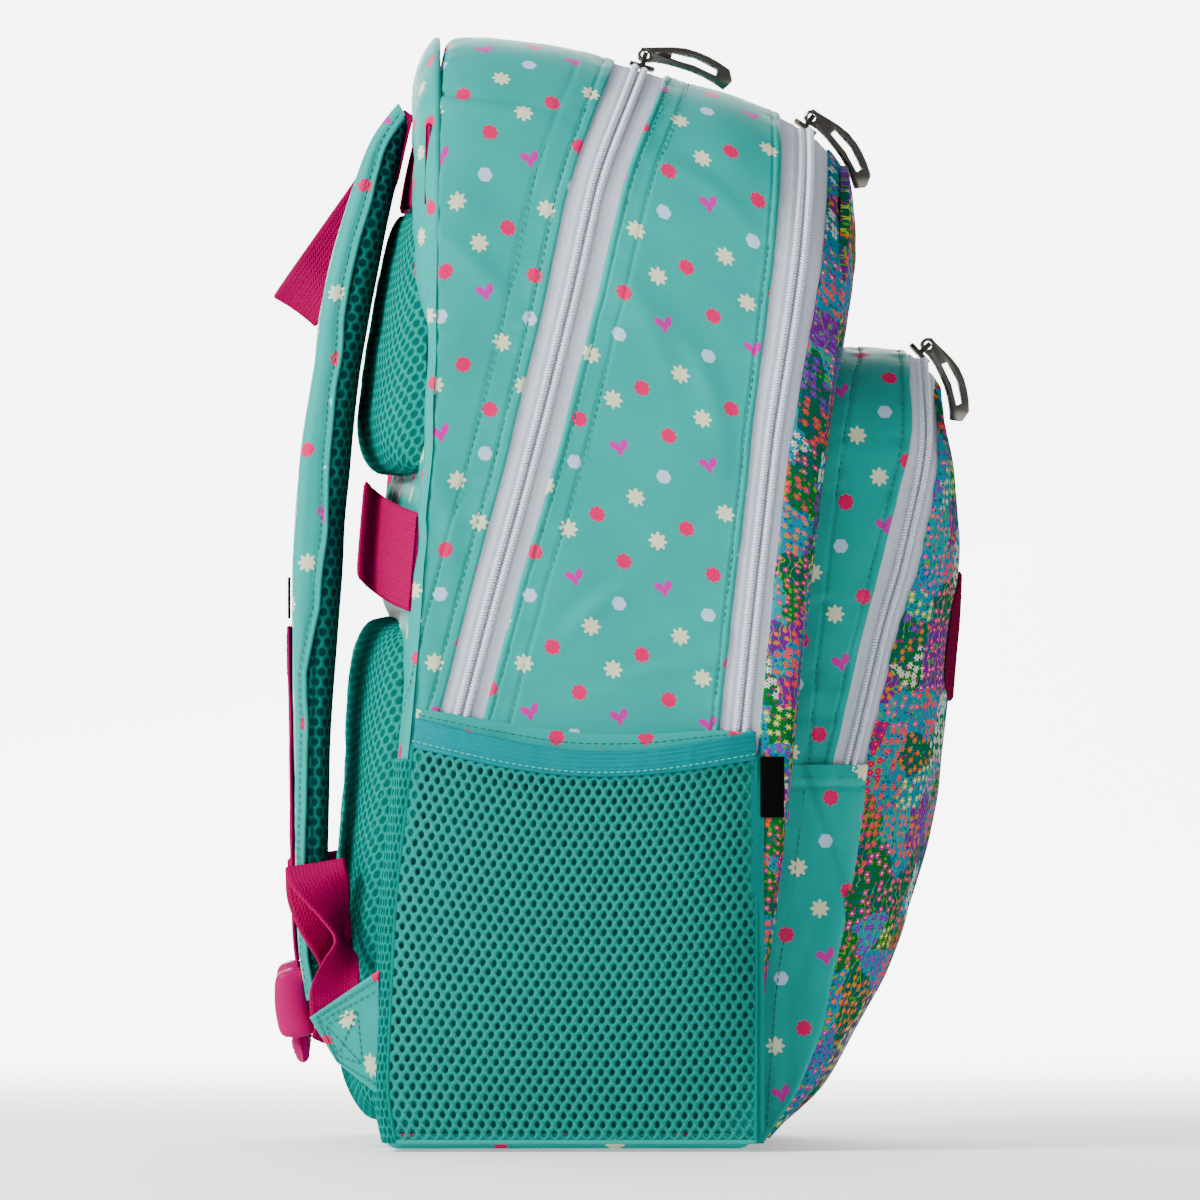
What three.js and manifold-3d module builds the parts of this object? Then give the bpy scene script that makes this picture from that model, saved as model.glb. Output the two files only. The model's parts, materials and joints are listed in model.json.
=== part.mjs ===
// School backpack, built the way it is sewn: a back panel, three zipped compartments
// made of gussets and panels, side mesh pockets, back pads, webbing and hardware.
// Millimetres. +Z up, front pocket towards -Y, shoulder straps towards +Y, X across.
// "left" is the wearer's left (-X). The origin is the middle of the underside box.
import * as THREE from 'three';
import { mergeVertices } from 'three/addons/utils/BufferGeometryUtils.js';
import Module from 'manifold-3d';

// ------------------------------------------------------------------ driving dimensions
const HALF_WIDTH = 150;          // body half width
const FRONT_TAPER = 12;          // how much narrower the front edge of the body is
const CORNER_R = 60;             // radius of the body's top corners
const BASE_Z = 2.4;              // gussets start above the base panel
const CLOTH = 2;                 // thickness of a lined fabric wall
const GAP = 0.2;                 // half of the clearance at a sewn seam
const LOWER_Z = 118;             // zips end here, the lower side panels start
const TAPE_OUT = 0;              // zip tapes lie flush in the wall
const COIL_W = 6.4;              // closed coil, width over both rows
const COIL_T = 1.5;              // closed coil, height over the tape
const POCKET_R = 44;             // radius of the front pocket's top corners
const WEB_T = 1.6;               // webbing thickness
const SHOULDER_W = 25;           // shoulder webbing width
const HANDLE_W = 21;             // carry handle webbing width
const HANDLE_L = 98;             // carry handle, anchor to bend
const HANDLE_X = 25;             // carry handle, half distance between its two ends
const TROLLEY_W = 39;            // trolley band height
const MESH_BULGE = 13;           // side mesh pocket, stand-off from the wall
const PULL_T = 2.2;              // zip pull thickness
const SLIDER_X = 9;              // each slider of a closed pair, distance from the middle

// Heights (z) against depth (y) of the seams and edges, side view. [z, y]
const REAR_SEAM = [[0, 90.8], [3, 91.6], [21, 95], [98, 91.4], [169, 83.5], [212, 80], [247, 77.2], [283, 74.1], [417, 72.1], [430, 69.5], [440, 66.8]];
const ZIP1_MID = [[118, 77.6], [169, 64.6], [216, 52.4], [255, 41.4], [294, 31.1], [339, 20.1], [384.5, 10.2], [418, -3.2], [430, -8]];
const ZIP1_W = [[118, 17], [169, 17.3], [418, 21.6]];
const ZIP2_REAR = [[118, -33], [176, -38.6], [255, -47.7], [285, -50.8], [318, -55.2], [351, -59.1], [384.5, -62.3], [410, -62.6]];
const ZIP2_FRONT = [[118, -49.3], [176, -54.4], [216, -58.2], [255, -62.6], [285, -66.4], [318, -72.8], [351, -78.5], [384.5, -81.1], [400, -81.5]];
const FRONT_EDGE = [[2, -47.6], [28, -49], [64, -51.5], [100, -57], [150, -62.5], [213, -68.5], [255, -73], [285, -77], [318, -82], [350, -86], [375, -87], [392, -87.4]];
const POCKET_SEAM = [[2, -50.6], [29, -52], [64.6, -54.6], [101, -60.8], [150.5, -66.8], [213.5, -72.6], [254, -77.6], [294, -83], [314, -88.4]];
const ZIP3_REAR = [[150.5, -82.7], [172, -87.5], [197, -93.4], [208, -95.7], [233.6, -102.8], [254, -107.6], [270, -112.3], [286, -114.6], [314, -113.4]];
const ZIP3_FRONT = [[150.5, -96.1], [172, -102], [197, -107.6], [208, -110.7], [230, -118.2], [246, -121.4], [258, -124], [278, -126.4], [306, -124]];
const LOWER_POCKET_EDGE = [[4, -56], [7, -58], [21, -70.5], [33, -72.8], [46.5, -78.8], [64.6, -81.6], [82.7, -86.3], [101, -89.8], [129, -94.2], [146, -95.7], [151, -96.1]];
const POCKET_CROWN = [[4, -58], [10.6, -68], [20, -79.6], [29, -85.5], [46.5, -95], [64.6, -105.6], [83, -113], [101, -118.2], [121, -123.7], [146, -128.8], [172, -131.6], [197, -133.6], [208, -134.8], [238, -135.9], [254, -135.1], [266, -134], [278, -131.8], [289, -129.4], [302, -126]];
const DIVIDER = [[3, 6], [415, -38]];
// Height of the body's top against depth. [y, z]
const TOP = [[-88, 388], [-81.5, 396.5], [-75, 402], [-62.5, 409.3], [-51.6, 413.3], [-40, 417.6], [-16, 425], [1.2, 430], [11.4, 433], [30, 436.6], [55, 440], [66.6, 440], [72, 438.6]];
const POCKET_TOP = [[-127, 304.5], [-124, 306.5], [-116, 315.2], [-88, 317]];
const MOUTH_TOP = [[-52, 165], [-8, 157.6], [25, 157], [60, 163], [92, 171]];      // [y, z] upper edge of the pocket elastic
const MOUTH_LOW = [[-52, 154.4], [-19, 149.3], [14, 147], [47, 150], [92, 159.4]]; // [y, z] its lower edge
// Shoulder strap side view: [rear y, rear z, front y, front z, middle x, half width]
const STRAP = [
  [88.8, 414, 84.6, 406.4, 62, 26], [100.5, 398.7, 88, 390.5, 64, 28], [108.7, 376.7, 92, 373, 67, 30], [115, 354.6, 96.5, 350, 70, 31],
  [119.8, 332.1, 100.4, 330, 73, 32], [122.6, 310, 103.8, 309, 75, 32], [126.1, 288, 106.2, 287.5, 77, 32], [128.8, 266, 108.2, 266, 79, 32],
  [130.2, 247, 110, 247, 81, 31], [131, 222, 111.4, 222, 83, 31], [131, 196, 113.4, 196, 84, 30], [130.4, 169, 115.4, 169, 86, 29],
  [130, 140, 116.4, 140, 87, 29], [129.8, 110, 116.9, 110, 88, 28], [128.6, 80, 117.4, 80, 89, 27], [125.4, 58, 119.8, 60, 90, 22]];

const UPPER_PAD_T = [[266, 15], [290, 14.8], [332, 9.6], [355, 6.8], [371, 6]];   // [z, thickness]
const LUMBAR_T = [[7, 12], [50, 12], [100, 13.3], [150, 14.5], [196, 15.6], [211, 15.6]];

const COLOUR = {
  mint: 0x6cc4b4, meadow: 0x4aa39a, tape: 0xdfe5ec, coil: 0xeef1f5, mesh: 0x0aa394, elastic: 0x19b8b0, magenta: 0xc4086a,
  board: 0x3b3f42, lining: 0x4a5a63, metal: 0x8f8b86, black: 0x161616, maroon: 0x7a1c40,
};

// ------------------------------------------------------------------ helpers
const at = (table, v) => {
  if (v <= table[0][0]) return table[0][1];
  for (let i = 1; i < table.length; i++) {
    if (v <= table[i][0]) {
      const [a, fa] = table[i - 1], [b, fb] = table[i];
      return fa + (fb - fa) * (v - a) / (b - a);
    }
  }
  return table[table.length - 1][1];
};
const clamp = (v, a, b) => Math.min(b, Math.max(a, v));
const root = new THREE.Group();

function geometry(points, faces) {
  const g = new THREE.BufferGeometry();
  let volume = 0;
  for (const [a, b, c] of faces) {
    const A = points[a], B = points[b], C = points[c];
    volume += A[0] * (B[1] * C[2] - B[2] * C[1]) - A[1] * (B[0] * C[2] - B[2] * C[0]) + A[2] * (B[0] * C[1] - B[1] * C[0]);
  }
  const out = volume < 0 ? faces.map(([a, b, c]) => [a, c, b]) : faces;
  g.setAttribute('position', new THREE.Float32BufferAttribute(points.flat(), 3));
  g.setIndex(out.flat());
  g.computeVertexNormals();
  return g;
}

function add(name, g, colour, rough = 0.8, metal = 0, parent = root) {
  const m = new THREE.Mesh(g, new THREE.MeshStandardMaterial({ color: colour, roughness: rough, metalness: metal }));
  m.name = name;
  parent.add(m);
  return m;
}

// A wall: two grids of (nu + 1) x (nv + 1) points, closed round their border.
function slab(outer, inner, nu, nv) {
  const pts = [], faces = [], w = nv + 1, n = (nu + 1) * w;
  for (const f of [outer, inner]) for (let i = 0; i <= nu; i++) for (let j = 0; j <= nv; j++) pts.push(f(i / nu, j / nv, i, j));
  const quad = (a, b, c, d) => faces.push([a, b, c], [a, c, d]);
  for (let i = 0; i < nu; i++) for (let j = 0; j < nv; j++) {
    const a = i * w + j, b = a + w;
    quad(a, b, b + 1, a + 1);
    quad(n + a, n + a + 1, n + b + 1, n + b);
  }
  for (let i = 0; i < nu; i++) {
    const a = i * w, b = a + w;
    quad(a, n + a, n + b, b);
    quad(a + nv, b + nv, n + b + nv, n + a + nv);
  }
  for (let j = 0; j < nv; j++) {
    quad(j, j + 1, n + j + 1, n + j);
    const a = nu * w + j;
    quad(a, n + a, n + a + 1, a + 1);
  }
  return geometry(pts, faces);
}

// A loft through closed rings of the same number of points, capped at both ends.
function loft(rings) {
  const pts = rings.flat(), m = rings[0].length, faces = [];
  for (let i = 0; i < rings.length - 1; i++) for (let j = 0; j < m; j++) {
    const a = i * m + j, b = i * m + (j + 1) % m;
    faces.push([a, a + m, b + m], [a, b + m, b]);
  }
  const last = (rings.length - 1) * m;
  for (let j = 1; j < m - 1; j++) { faces.push([0, j, j + 1]); faces.push([last, last + j + 1, last + j]); }
  return geometry(pts, faces);
}

// A flat ribbon through stations {c, w}: centre and width direction; thickness is square to both.
function ribbon(stations, width, thick) {
  const rings = stations.map(({ c, w, n, k = 1 }) => {
    const W = new THREE.Vector3(...w).normalize().multiplyScalar(width / 2 * k), N = new THREE.Vector3(...n).normalize();
    const C = new THREE.Vector3(...c);
    N.addScaledVector(W.clone().normalize(), -N.dot(W.clone().normalize())).normalize().multiplyScalar(thick / 2);
    return [[1, 1], [-1, 1], [-1, -1], [1, -1]].map(([a, b]) => C.clone().addScaledVector(W, a).addScaledVector(N, b).toArray());
  });
  return loft(rings);
}

const mirrored = (g) => {
  const h = g.clone(), p = h.attributes.position, ix = h.index.array;
  for (let i = 0; i < p.count; i++) p.setX(i, -p.getX(i));
  for (let i = 0; i < ix.length; i += 3) { const t = ix[i + 1]; ix[i + 1] = ix[i + 2]; ix[i + 2] = t; }
  h.computeVertexNormals();
  return h;
};

const wasm = await Module();
wasm.setup();
const solid = (g) => {
  const h = g.index ? g.clone() : g.clone();
  h.deleteAttribute('normal'); h.deleteAttribute('uv');
  const m = mergeVertices(h, 1e-4);
  return new wasm.Manifold(new wasm.Mesh({ numProp: 3, vertProperties: new Float32Array(m.attributes.position.array), triVerts: new Uint32Array(m.index.array) }));
};
const fromSolid = (s) => {
  const m = s.getMesh(), g = new THREE.BufferGeometry();
  g.setAttribute('position', new THREE.Float32BufferAttribute(Array.from(m.vertProperties), 3));
  g.setIndex(Array.from(m.triVerts));
  g.computeVertexNormals();
  return g;
};

// ------------------------------------------------------------------ the body's arch
const halfWidth = (y) => (y < -60 ? HALF_WIDTH - FRONT_TAPER * ((-60 - y) / 27) ** 2 : HALF_WIDTH);
const bodyArch = { half: halfWidth, top: (y) => at(TOP, y), r: CORNER_R };
const pocketArch = { half: (y) => 125 - 10 * clamp((-y - 60) / 66, 0, 1), top: (y) => at(POCKET_TOP, y), r: POCKET_R };

// Stations along the arch, from the foot on -X over the top to the foot on +X.
const STATIONS = [];
for (let i = 0; i < 7; i++) STATIONS.push(['side', -1, i / 7]);
for (let i = 0; i < 5; i++) STATIONS.push(['corner', -1, i / 5]);
STATIONS.push(['top', -1, 0], ['top', 0, 0], ['top', 1, 0]);
for (let i = 4; i >= 0; i--) STATIONS.push(['corner', 1, i / 5]);
for (let i = 6; i >= 0; i--) STATIONS.push(['side', 1, i / 7]);

function archPoint(arch, station, yOf, foot, inset) {
  const [kind, side, k] = station;
  let y = yOf(200), x = 0, z = 200;
  for (let n = 0; n < 12; n++) {
    const W = arch.half(y) - inset, H = arch.top(y) - inset, R = Math.max(6, arch.r - inset);
    if (kind === 'side') { x = side * W; z = foot + (H - R - foot) * k; }
    else if (kind === 'corner') { const a = k * Math.PI / 2; x = side * (W - R + R * Math.cos(a)); z = H - R + R * Math.sin(a); }
    else { x = side * (W - R); z = H; }
    y = yOf(z);
  }
  return [x, y, z];
}

// A strip of wall on an arch, between two seams given as y(z); inset is from out to inn, below the surface.
function band(arch, yA, yB, foot = BASE_Z, out = 0, inn = CLOTH, across = 1) {
  const n = STATIONS.length - 1;
  const f = (inset) => (u, v, i) => archPoint(arch, STATIONS[i], (z) => yA(z) + (yB(z) - yA(z)) * v, foot, inset);
  return slab(f(out), f(inn), n, across);
}

// Half width of an arch outline at height z.
const archHalf = (z, W, H, R) => (z <= H - R ? W : W - R + Math.sqrt(Math.max(0, R * R - (z - H + R) ** 2)));

// ------------------------------------------------------------------ body walls
const rearSeam = (z) => at(REAR_SEAM, z);
const zip1Rear = (z) => at(ZIP1_MID, z) + at(ZIP1_W, z) / 2;
const zip1Front = (z) => at(ZIP1_MID, z) - at(ZIP1_W, z) / 2;
const zip2Rear = (z) => at(ZIP2_REAR, z), zip2Front = (z) => at(ZIP2_FRONT, z);
const frontEdge = (z) => at(FRONT_EDGE, z);

add('rear_gusset', band(bodyArch, (z) => rearSeam(z) - GAP, (z) => zip1Rear(z) + GAP, LOWER_Z + GAP), COLOUR.mint);
add('rear_zip_tape', band(bodyArch, (z) => zip1Rear(z) - GAP, (z) => zip1Front(z) + GAP, LOWER_Z + GAP, 0.6, 1.8), COLOUR.tape);
add('rear_zip_coil', band(bodyArch, (z) => at(ZIP1_MID, z) + COIL_W / 2, (z) => at(ZIP1_MID, z) - COIL_W / 2, LOWER_Z + GAP, -COIL_T, 0.2), COLOUR.coil, 0.4);
add('middle_gusset', band(bodyArch, (z) => zip1Front(z) - GAP, (z) => zip2Rear(z) + GAP, LOWER_Z + GAP), COLOUR.mint);
add('front_zip_tape', band(bodyArch, (z) => zip2Rear(z) - GAP, (z) => zip2Front(z) + GAP, LOWER_Z + GAP, 0.6, 1.8, 2), COLOUR.tape);
const zip2Mid = (z) => (zip2Rear(z) + zip2Front(z)) / 2 - 0.5;
add('front_zip_coil', band(bodyArch, (z) => zip2Mid(z) + COIL_W / 2, (z) => zip2Mid(z) - COIL_W / 2, LOWER_Z + GAP, -COIL_T, 0.2), COLOUR.coil, 0.4);
// floral strip in front of the second zip
add('front_gusset', band(bodyArch, (z) => zip2Front(z) - GAP, (z) => frontEdge(z) + GAP, LOWER_Z + GAP), COLOUR.meadow);

for (const [side, name] of [[-1, 'lower_side_left'], [1, 'lower_side_right']]) {
  const f = (inset) => (u, v) => {
    const z = BASE_Z + (LOWER_Z - GAP - BASE_Z) * u;
    const a = rearSeam(z) - GAP, b = frontEdge(z) + GAP;
    return [side * (HALF_WIDTH - inset), a + (b - a) * v, z];
  };
  add(name, slab(f(0), f(CLOTH), 6, 2), COLOUR.mint);
}

// back panel: convex, more so above than in the lumbar part
const backBulge = (z) => (6 + 8 * clamp((z - 150) / 80, 0, 1)) * (1 - Math.abs(2 * (z - 3) / 412 - 1) ** 6);
const backSurface = (x, z) => rearSeam(z) + 0.4 + backBulge(z) * (1 - (x / HALF_WIDTH) ** 2);
{ // the panel's inner face stays behind the seam line, so that the gussets butt against its border
  const rows = [3];
  for (let i = 1; i <= 6; i++) rows.push(BASE_Z + (LOWER_Z - GAP - BASE_Z) * i / 6);
  for (let i = 1; i <= 7; i++) rows.push(LOWER_Z + (438.8 - CORNER_R - LOWER_Z) * i / 7);
  rows.push(393, 405);
  const outer = (u, v, i) => {
    const z = rows[i], x = (2 * v - 1) * archHalf(z, HALF_WIDTH, 405, 48);
    return [x, backSurface(x, z) + 1.6, z];
  };
  const inner = (u, v, i) => {
    const z = rows[i], x = (2 * v - 1) * archHalf(z, HALF_WIDTH, 405, 48);
    return [x, backSurface(x, z) - 0.2, z];
  };
  add('back_panel', slab(outer, inner, rows.length - 1, 8), COLOUR.mint);
  const so = (u, v) => { const z = 12 + 376 * u, x = (2 * v - 1) * archHalf(z, 138, 388, 40); return [x, backSurface(x, z) - 1.6, z]; };
  const si = (u, v) => { const z = 12 + 376 * u, x = (2 * v - 1) * archHalf(z, 138, 388, 40); return [x, backSurface(x, z) - 4.4, z]; };
  add('back_stiffener', slab(so, si, 8, 6), COLOUR.board, 0.6);
}

// yoke: the folded band over the top rear edge
{
  const prof = [[73.3, -0.2], [76, 1.2], [79.5, 7], [82.4, 17], [82.6, 30], [80.4, 30], [80, 18], [77, 9.5], [73.3, 3.2]];
  const rings = [];
  for (const st of STATIONS) {
    if (st[0] === 'side' || (st[0] === 'corner' && st[2] < 0.1)) continue;
    const ring = prof.map(([y, inset]) => {
      const p = archPoint({ half: () => HALF_WIDTH, top: () => 439.6, r: CORNER_R }, st, () => 0, BASE_Z, inset);
      return [p[0], y, p[2]];
    });
    rings.push(ring);
  }
  const m = prof.length, pts = rings.flat(), faces = [];
  for (let i = 0; i < rings.length - 1; i++) for (let j = 0; j < m; j++) {
    const a = i * m + j, b = i * m + (j + 1) % m;
    faces.push([a, a + m, b + m], [a, b + m, b]);
  }
  const flat = THREE.ShapeUtils.triangulateShape(prof.map(([y, n]) => new THREE.Vector2(y, n)), []);
  const last = (rings.length - 1) * m;
  const first = new THREE.Vector2(...prof[0]), sense = THREE.ShapeUtils.area(prof.map(([y, n]) => new THREE.Vector2(y, n)));
  for (const [a, b, c] of flat) {
    if (sense > 0) { faces.push([a, b, c], [last + a, last + c, last + b]); }
    else { faces.push([a, c, b], [last + a, last + b, last + c]); }
  }
  const build = (ff) => geometry(pts, ff);
  // the caps have to run against the sides: try both senses and keep the closed one
  const edgeOk = (ff) => {
    const seen = new Set();
    for (const f of ff) for (let k = 0; k < 3; k++) { const e = f[k] + '_' + f[(k + 1) % 3]; if (seen.has(e)) return false; seen.add(e); }
    return true;
  };
  const sides = faces.slice(0, (rings.length - 1) * m * 2), caps = faces.slice((rings.length - 1) * m * 2);
  const tryCaps = [caps, caps.map(([a, b, c]) => [a, c, b])].find((c) => edgeOk([...sides, ...c]));
  add('top_yoke', build([...sides, ...(tryCaps || caps)]), COLOUR.mint);
}

// base and its stiffening board
const plate = (x, y0, y1, r, z0, z1) => {
  const s = new THREE.Shape();
  s.moveTo(-x + r, y0); s.lineTo(x - r, y0); s.quadraticCurveTo(x, y0, x, y0 + r); s.lineTo(x, y1 - r); s.quadraticCurveTo(x, y1, x - r, y1);
  s.lineTo(-x + r, y1); s.quadraticCurveTo(-x, y1, -x, y1 - r); s.lineTo(-x, y0 + r); s.quadraticCurveTo(-x, y0, -x + r, y0);
  const g = new THREE.ExtrudeGeometry(s, { depth: z1 - z0, bevelEnabled: false, curveSegments: 3 });
  g.translate(0, 0, z0);
  return g;
};
add('base_panel', plate(150, -50, 94, 6, 0, BASE_Z - 0.4), COLOUR.mint);
add('base_stiffener', plate(146, -40, 86, 5, BASE_Z, BASE_Z + 3), COLOUR.board, 0.6);

// wall between the two big compartments
{
  const d = (dy) => (u, v) => { const z = 6 + 407 * u, x = (2 * v - 1) * archHalf(z, 147.2, 413, 57); return [x, at(DIVIDER, z) + dy, z]; };
  add('divider_panel', slab(d(0), d(1.6), 8, 4), COLOUR.lining);
}

// front wall of the second compartment
const frontHalf = (z) => archHalf(z, HALF_WIDTH - FRONT_TAPER, 389, 50);
const frontSurface = (x, z) => {
  const s = clamp(Math.abs(x) / frontHalf(z), 0, 1);
  const edge = Math.sqrt(clamp((389 - z) / 34, 0, 1)) * clamp((z + 6) / 20, 0, 1);
  return frontEdge(z) - 0.4 - 5.2 * Math.sqrt(1 - s * s) * edge;
};
{
  const f = (dy) => (u, v) => {
    const zz = u < 0.75 ? 3 + 336 * (u / 0.75) : 339 + 50 * Math.sin((u - 0.75) / 0.25 * Math.PI / 2);
    const x = Math.sin((v - 0.5) * Math.PI) * frontHalf(zz);
    return [x, frontSurface(x, zz) + dy, zz];
  };
  const f2 = (u, v) => { const p = f(0)(u, v); return [p[0], p[1] - 1.6, p[2]]; };
  add('front_panel', slab(f2, f(0), 13, 8), COLOUR.meadow);
}

// ------------------------------------------------------------------ front pocket
const pocketSeam = (z) => at(POCKET_SEAM, z) - 2.6;
add('pocket_gusset', band(pocketArch, (z) => pocketSeam(z) - 0.4, (z) => at(ZIP3_REAR, z) + GAP, 151), COLOUR.mint);
add('pocket_zip_tape', band(pocketArch, (z) => at(ZIP3_REAR, z) - GAP, (z) => at(ZIP3_FRONT, z) + GAP, 151, 0.6, 1.8, 2), COLOUR.tape);
const zip3Mid = (z) => (at(ZIP3_REAR, z) + at(ZIP3_FRONT, z)) / 2;
add('pocket_zip_coil', band(pocketArch, (z) => zip3Mid(z) + 2.6, (z) => zip3Mid(z) - 2.6, 151, -1.3, 0.2), COLOUR.coil, 0.4);
for (const [side, name] of [[-1, 'pocket_lower_gusset_left'], [1, 'pocket_lower_gusset_right']]) {
  const f = (inset) => (u, v) => {
    const z = 4.2 + (150.4 - 4.2) * u, a = pocketSeam(z) - 0.4, b = at(LOWER_POCKET_EDGE, z) + GAP;
    const y = a + (Math.min(b, a - 1.2) - a) * v;
    return [side * (pocketArch.half(y) - inset), y, z];
  };
  add(name, slab(f(0), f(CLOTH), 8, 2), COLOUR.mint);
}
const pocketEdge = (z) => (z < 151 ? at(LOWER_POCKET_EDGE, z) : at(ZIP3_FRONT, z));
{
  const rows = [];
  for (let i = 0; i <= 8; i++) rows.push(4.2 + (150.4 - 4.2) * i / 8);
  for (let i = 1; i <= 7; i++) rows.push(151 + (306.5 - POCKET_R - 151) * i / 7);
  rows.push(281, 294, 301, 304);
  const face = (grow) => (u, v, i) => {
    const z = rows[i];
    const e = pocketEdge(z) - 0.5, W = archHalf(z, pocketArch.half(e), 304, 40);
    const s = 2 * v - 1, x = Math.sin(s * Math.PI / 2) * W, k = Math.abs(x / W);
    const c = Math.min(at(POCKET_CROWN, z), e - 1.9);
    const y = e - 1.8 + (c - e + 1.8) * (1 - k ** 2.3);
    return [x, y + grow, z];
  };
  add('pocket_front', slab(face(0), face(1.8), rows.length - 1, 8), COLOUR.meadow);
}
{ // plain embroidered patch on the pocket face
  const yAt = (x, z) => {
    const e = pocketEdge(z) - GAP, W = pocketArch.half(e), k = Math.abs(x / W), c = at(POCKET_CROWN, z);
    return e - 1.8 + (c - e + 1.8) * (1 - k ** 2.3);
  };
  const f = (dy) => (u, v) => {
    const z = 176 + 52 * u, x = (2 * v - 1) * 56 * Math.sqrt(1 - 0.75 * (2 * u - 1) ** 4);
    return [x, yAt(x, z) - dy, z];
  };
  add('front_patch', slab(f(1.7), f(0.7), 6, 8), COLOUR.maroon);
}

// ------------------------------------------------------------------ side mesh pockets
const pocketRear = (z) => rearSeam(z) - 1.4, pocketFore = -52;
const bulge = (p, q) => 0.5 + MESH_BULGE * (1 - Math.abs(p) ** 3) ** 0.8 * Math.sin(Math.min(1, q * 1.9 + 0.02) * Math.PI / 2) * (1 - 0.32 * clamp((q - 0.55) / 0.45, 0, 1));
for (const [side, tail] of [[-1, 'left'], [1, 'right']]) {
  const mesh = (t) => (u, v) => {
    const p = 2 * v - 1, y0 = pocketFore + (pocketRear(80) - pocketFore) * v;
    const z = 3.2 + (at(MOUTH_LOW, y0) - 0.3 - 3.2) * u;
    const y = pocketFore + (pocketRear(z) - pocketFore) * v;
    return [side * (HALF_WIDTH + bulge(p, u) + t), y, z];
  };
  add('mesh_pocket_' + tail, slab(mesh(1.3), mesh(0), 8, 10), COLOUR.mesh, 0.5);
  const el = (t) => (u, v) => {
    const p = 2 * v - 1, y0 = pocketFore + (pocketRear(80) - pocketFore) * v;
    const z = at(MOUTH_LOW, y0) + 0.1 + (at(MOUTH_TOP, y0) - at(MOUTH_LOW, y0)) * u;
    const y = pocketFore + (pocketRear(z) - pocketFore) * v;
    return [side * (HALF_WIDTH + bulge(p, 1) + t), y, z];
  };
  add('pocket_elastic_' + tail, slab(el(2), el(0), 1, 10), COLOUR.elastic);
}

// ------------------------------------------------------------------ back pads and bands
const pad = (x0, x1, z0, z1, T, lift, nu, nv) => {
  const f = (outer) => (u, v) => {
    const x = x0 + (x1 - x0) * v, z = z0 + (z1 - z0) * u, p = 2 * v - 1, q = 2 * u - 1;
    const h = 3.4 + at(T, z) * Math.sqrt((1 - Math.abs(p) ** 5) * (1 - Math.abs(q) ** 5));
    return [x, backSurface(x, z) + (outer ? Math.max(h, lift + 1.3) : lift), z];
  };
  return slab(f(true), f(false), nu, nv);
};
const upper = pad(-134, -9, 266, 370.5, UPPER_PAD_T, 2.7, 8, 7);
add('upper_pad_left', upper, COLOUR.mesh);
add('upper_pad_right', mirrored(upper), COLOUR.mesh);
add('lumbar_pad', pad(-128, 128, 9, 210, LUMBAR_T, 4.4, 10, 10), COLOUR.mesh);
{
  const f = (t) => (u, v) => {
    const x = (2 * v - 1) * 145, s = x / 145, z = 231.5 + 13 * (1 - s * s) + TROLLEY_W * (u - 0.5);
    return [x, backSurface(x, z) + 2 + 8.6 * (1 - s ** 6) + t, z];
  };
  add('trolley_band', slab(f(WEB_T), f(0), 1, 12), COLOUR.magenta);
  const a = (t) => (u, v) => { const x = (2 * v - 1) * 138, z = 372.4 + 30 * u; return [x * (1 - 0.1 * u), backSurface(x, z) + 3.2 + t, z]; };
  add('anchor_band', slab(a(WEB_T), a(0), 1, 8), COLOUR.magenta);
}

// ------------------------------------------------------------------ shoulder straps
const strapRing = (k, fromRear, toRear, hw, round) => {
  const [ry, rz, fy, fz, xc, half] = STRAP[k];
  const d = new THREE.Vector2(ry - fy, rz - fz), T = d.length(); d.divideScalar(T);
  const w = hw === null ? half : hw;
  // depth measured from the rear face inwards
  const p = (x, depth) => [-xc + x, ry - d.x * depth, rz - d.y * depth];
  const a = fromRear, b = toRear === null ? T : toRear, c = round;
  return [p(-w + c, a), p(w - c, a), p(w, a + c), p(w, b - c), p(w - c, b), p(-w + c, b), p(-w, b - c), p(-w, a + c)];
};
const parts = {
  pad: loft(STRAP.map((_, k) => strapRing(k, 2.1, null, null, k === 15 ? 1 : 2.2))),
  face: loft(STRAP.map((_, k) => strapRing(k, 0, 1.8, STRAP[k][5] - 0.6, 0.4))),
};
const webStations = [10, 11, 12, 13, 14].map((k) => {
  const [ry, rz] = STRAP[k];
  return { c: [-STRAP[k][4], ry + 1.2, k === 10 ? 205 : rz], w: [1, 0, 0], n: [0, 1, 0] };
});
webStations.push({ c: [-89.5, 129.4, 70.4], w: [1, 0, 0], n: [0, 1, 0] });
parts.web = ribbon(webStations, SHOULDER_W, WEB_T);
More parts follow.
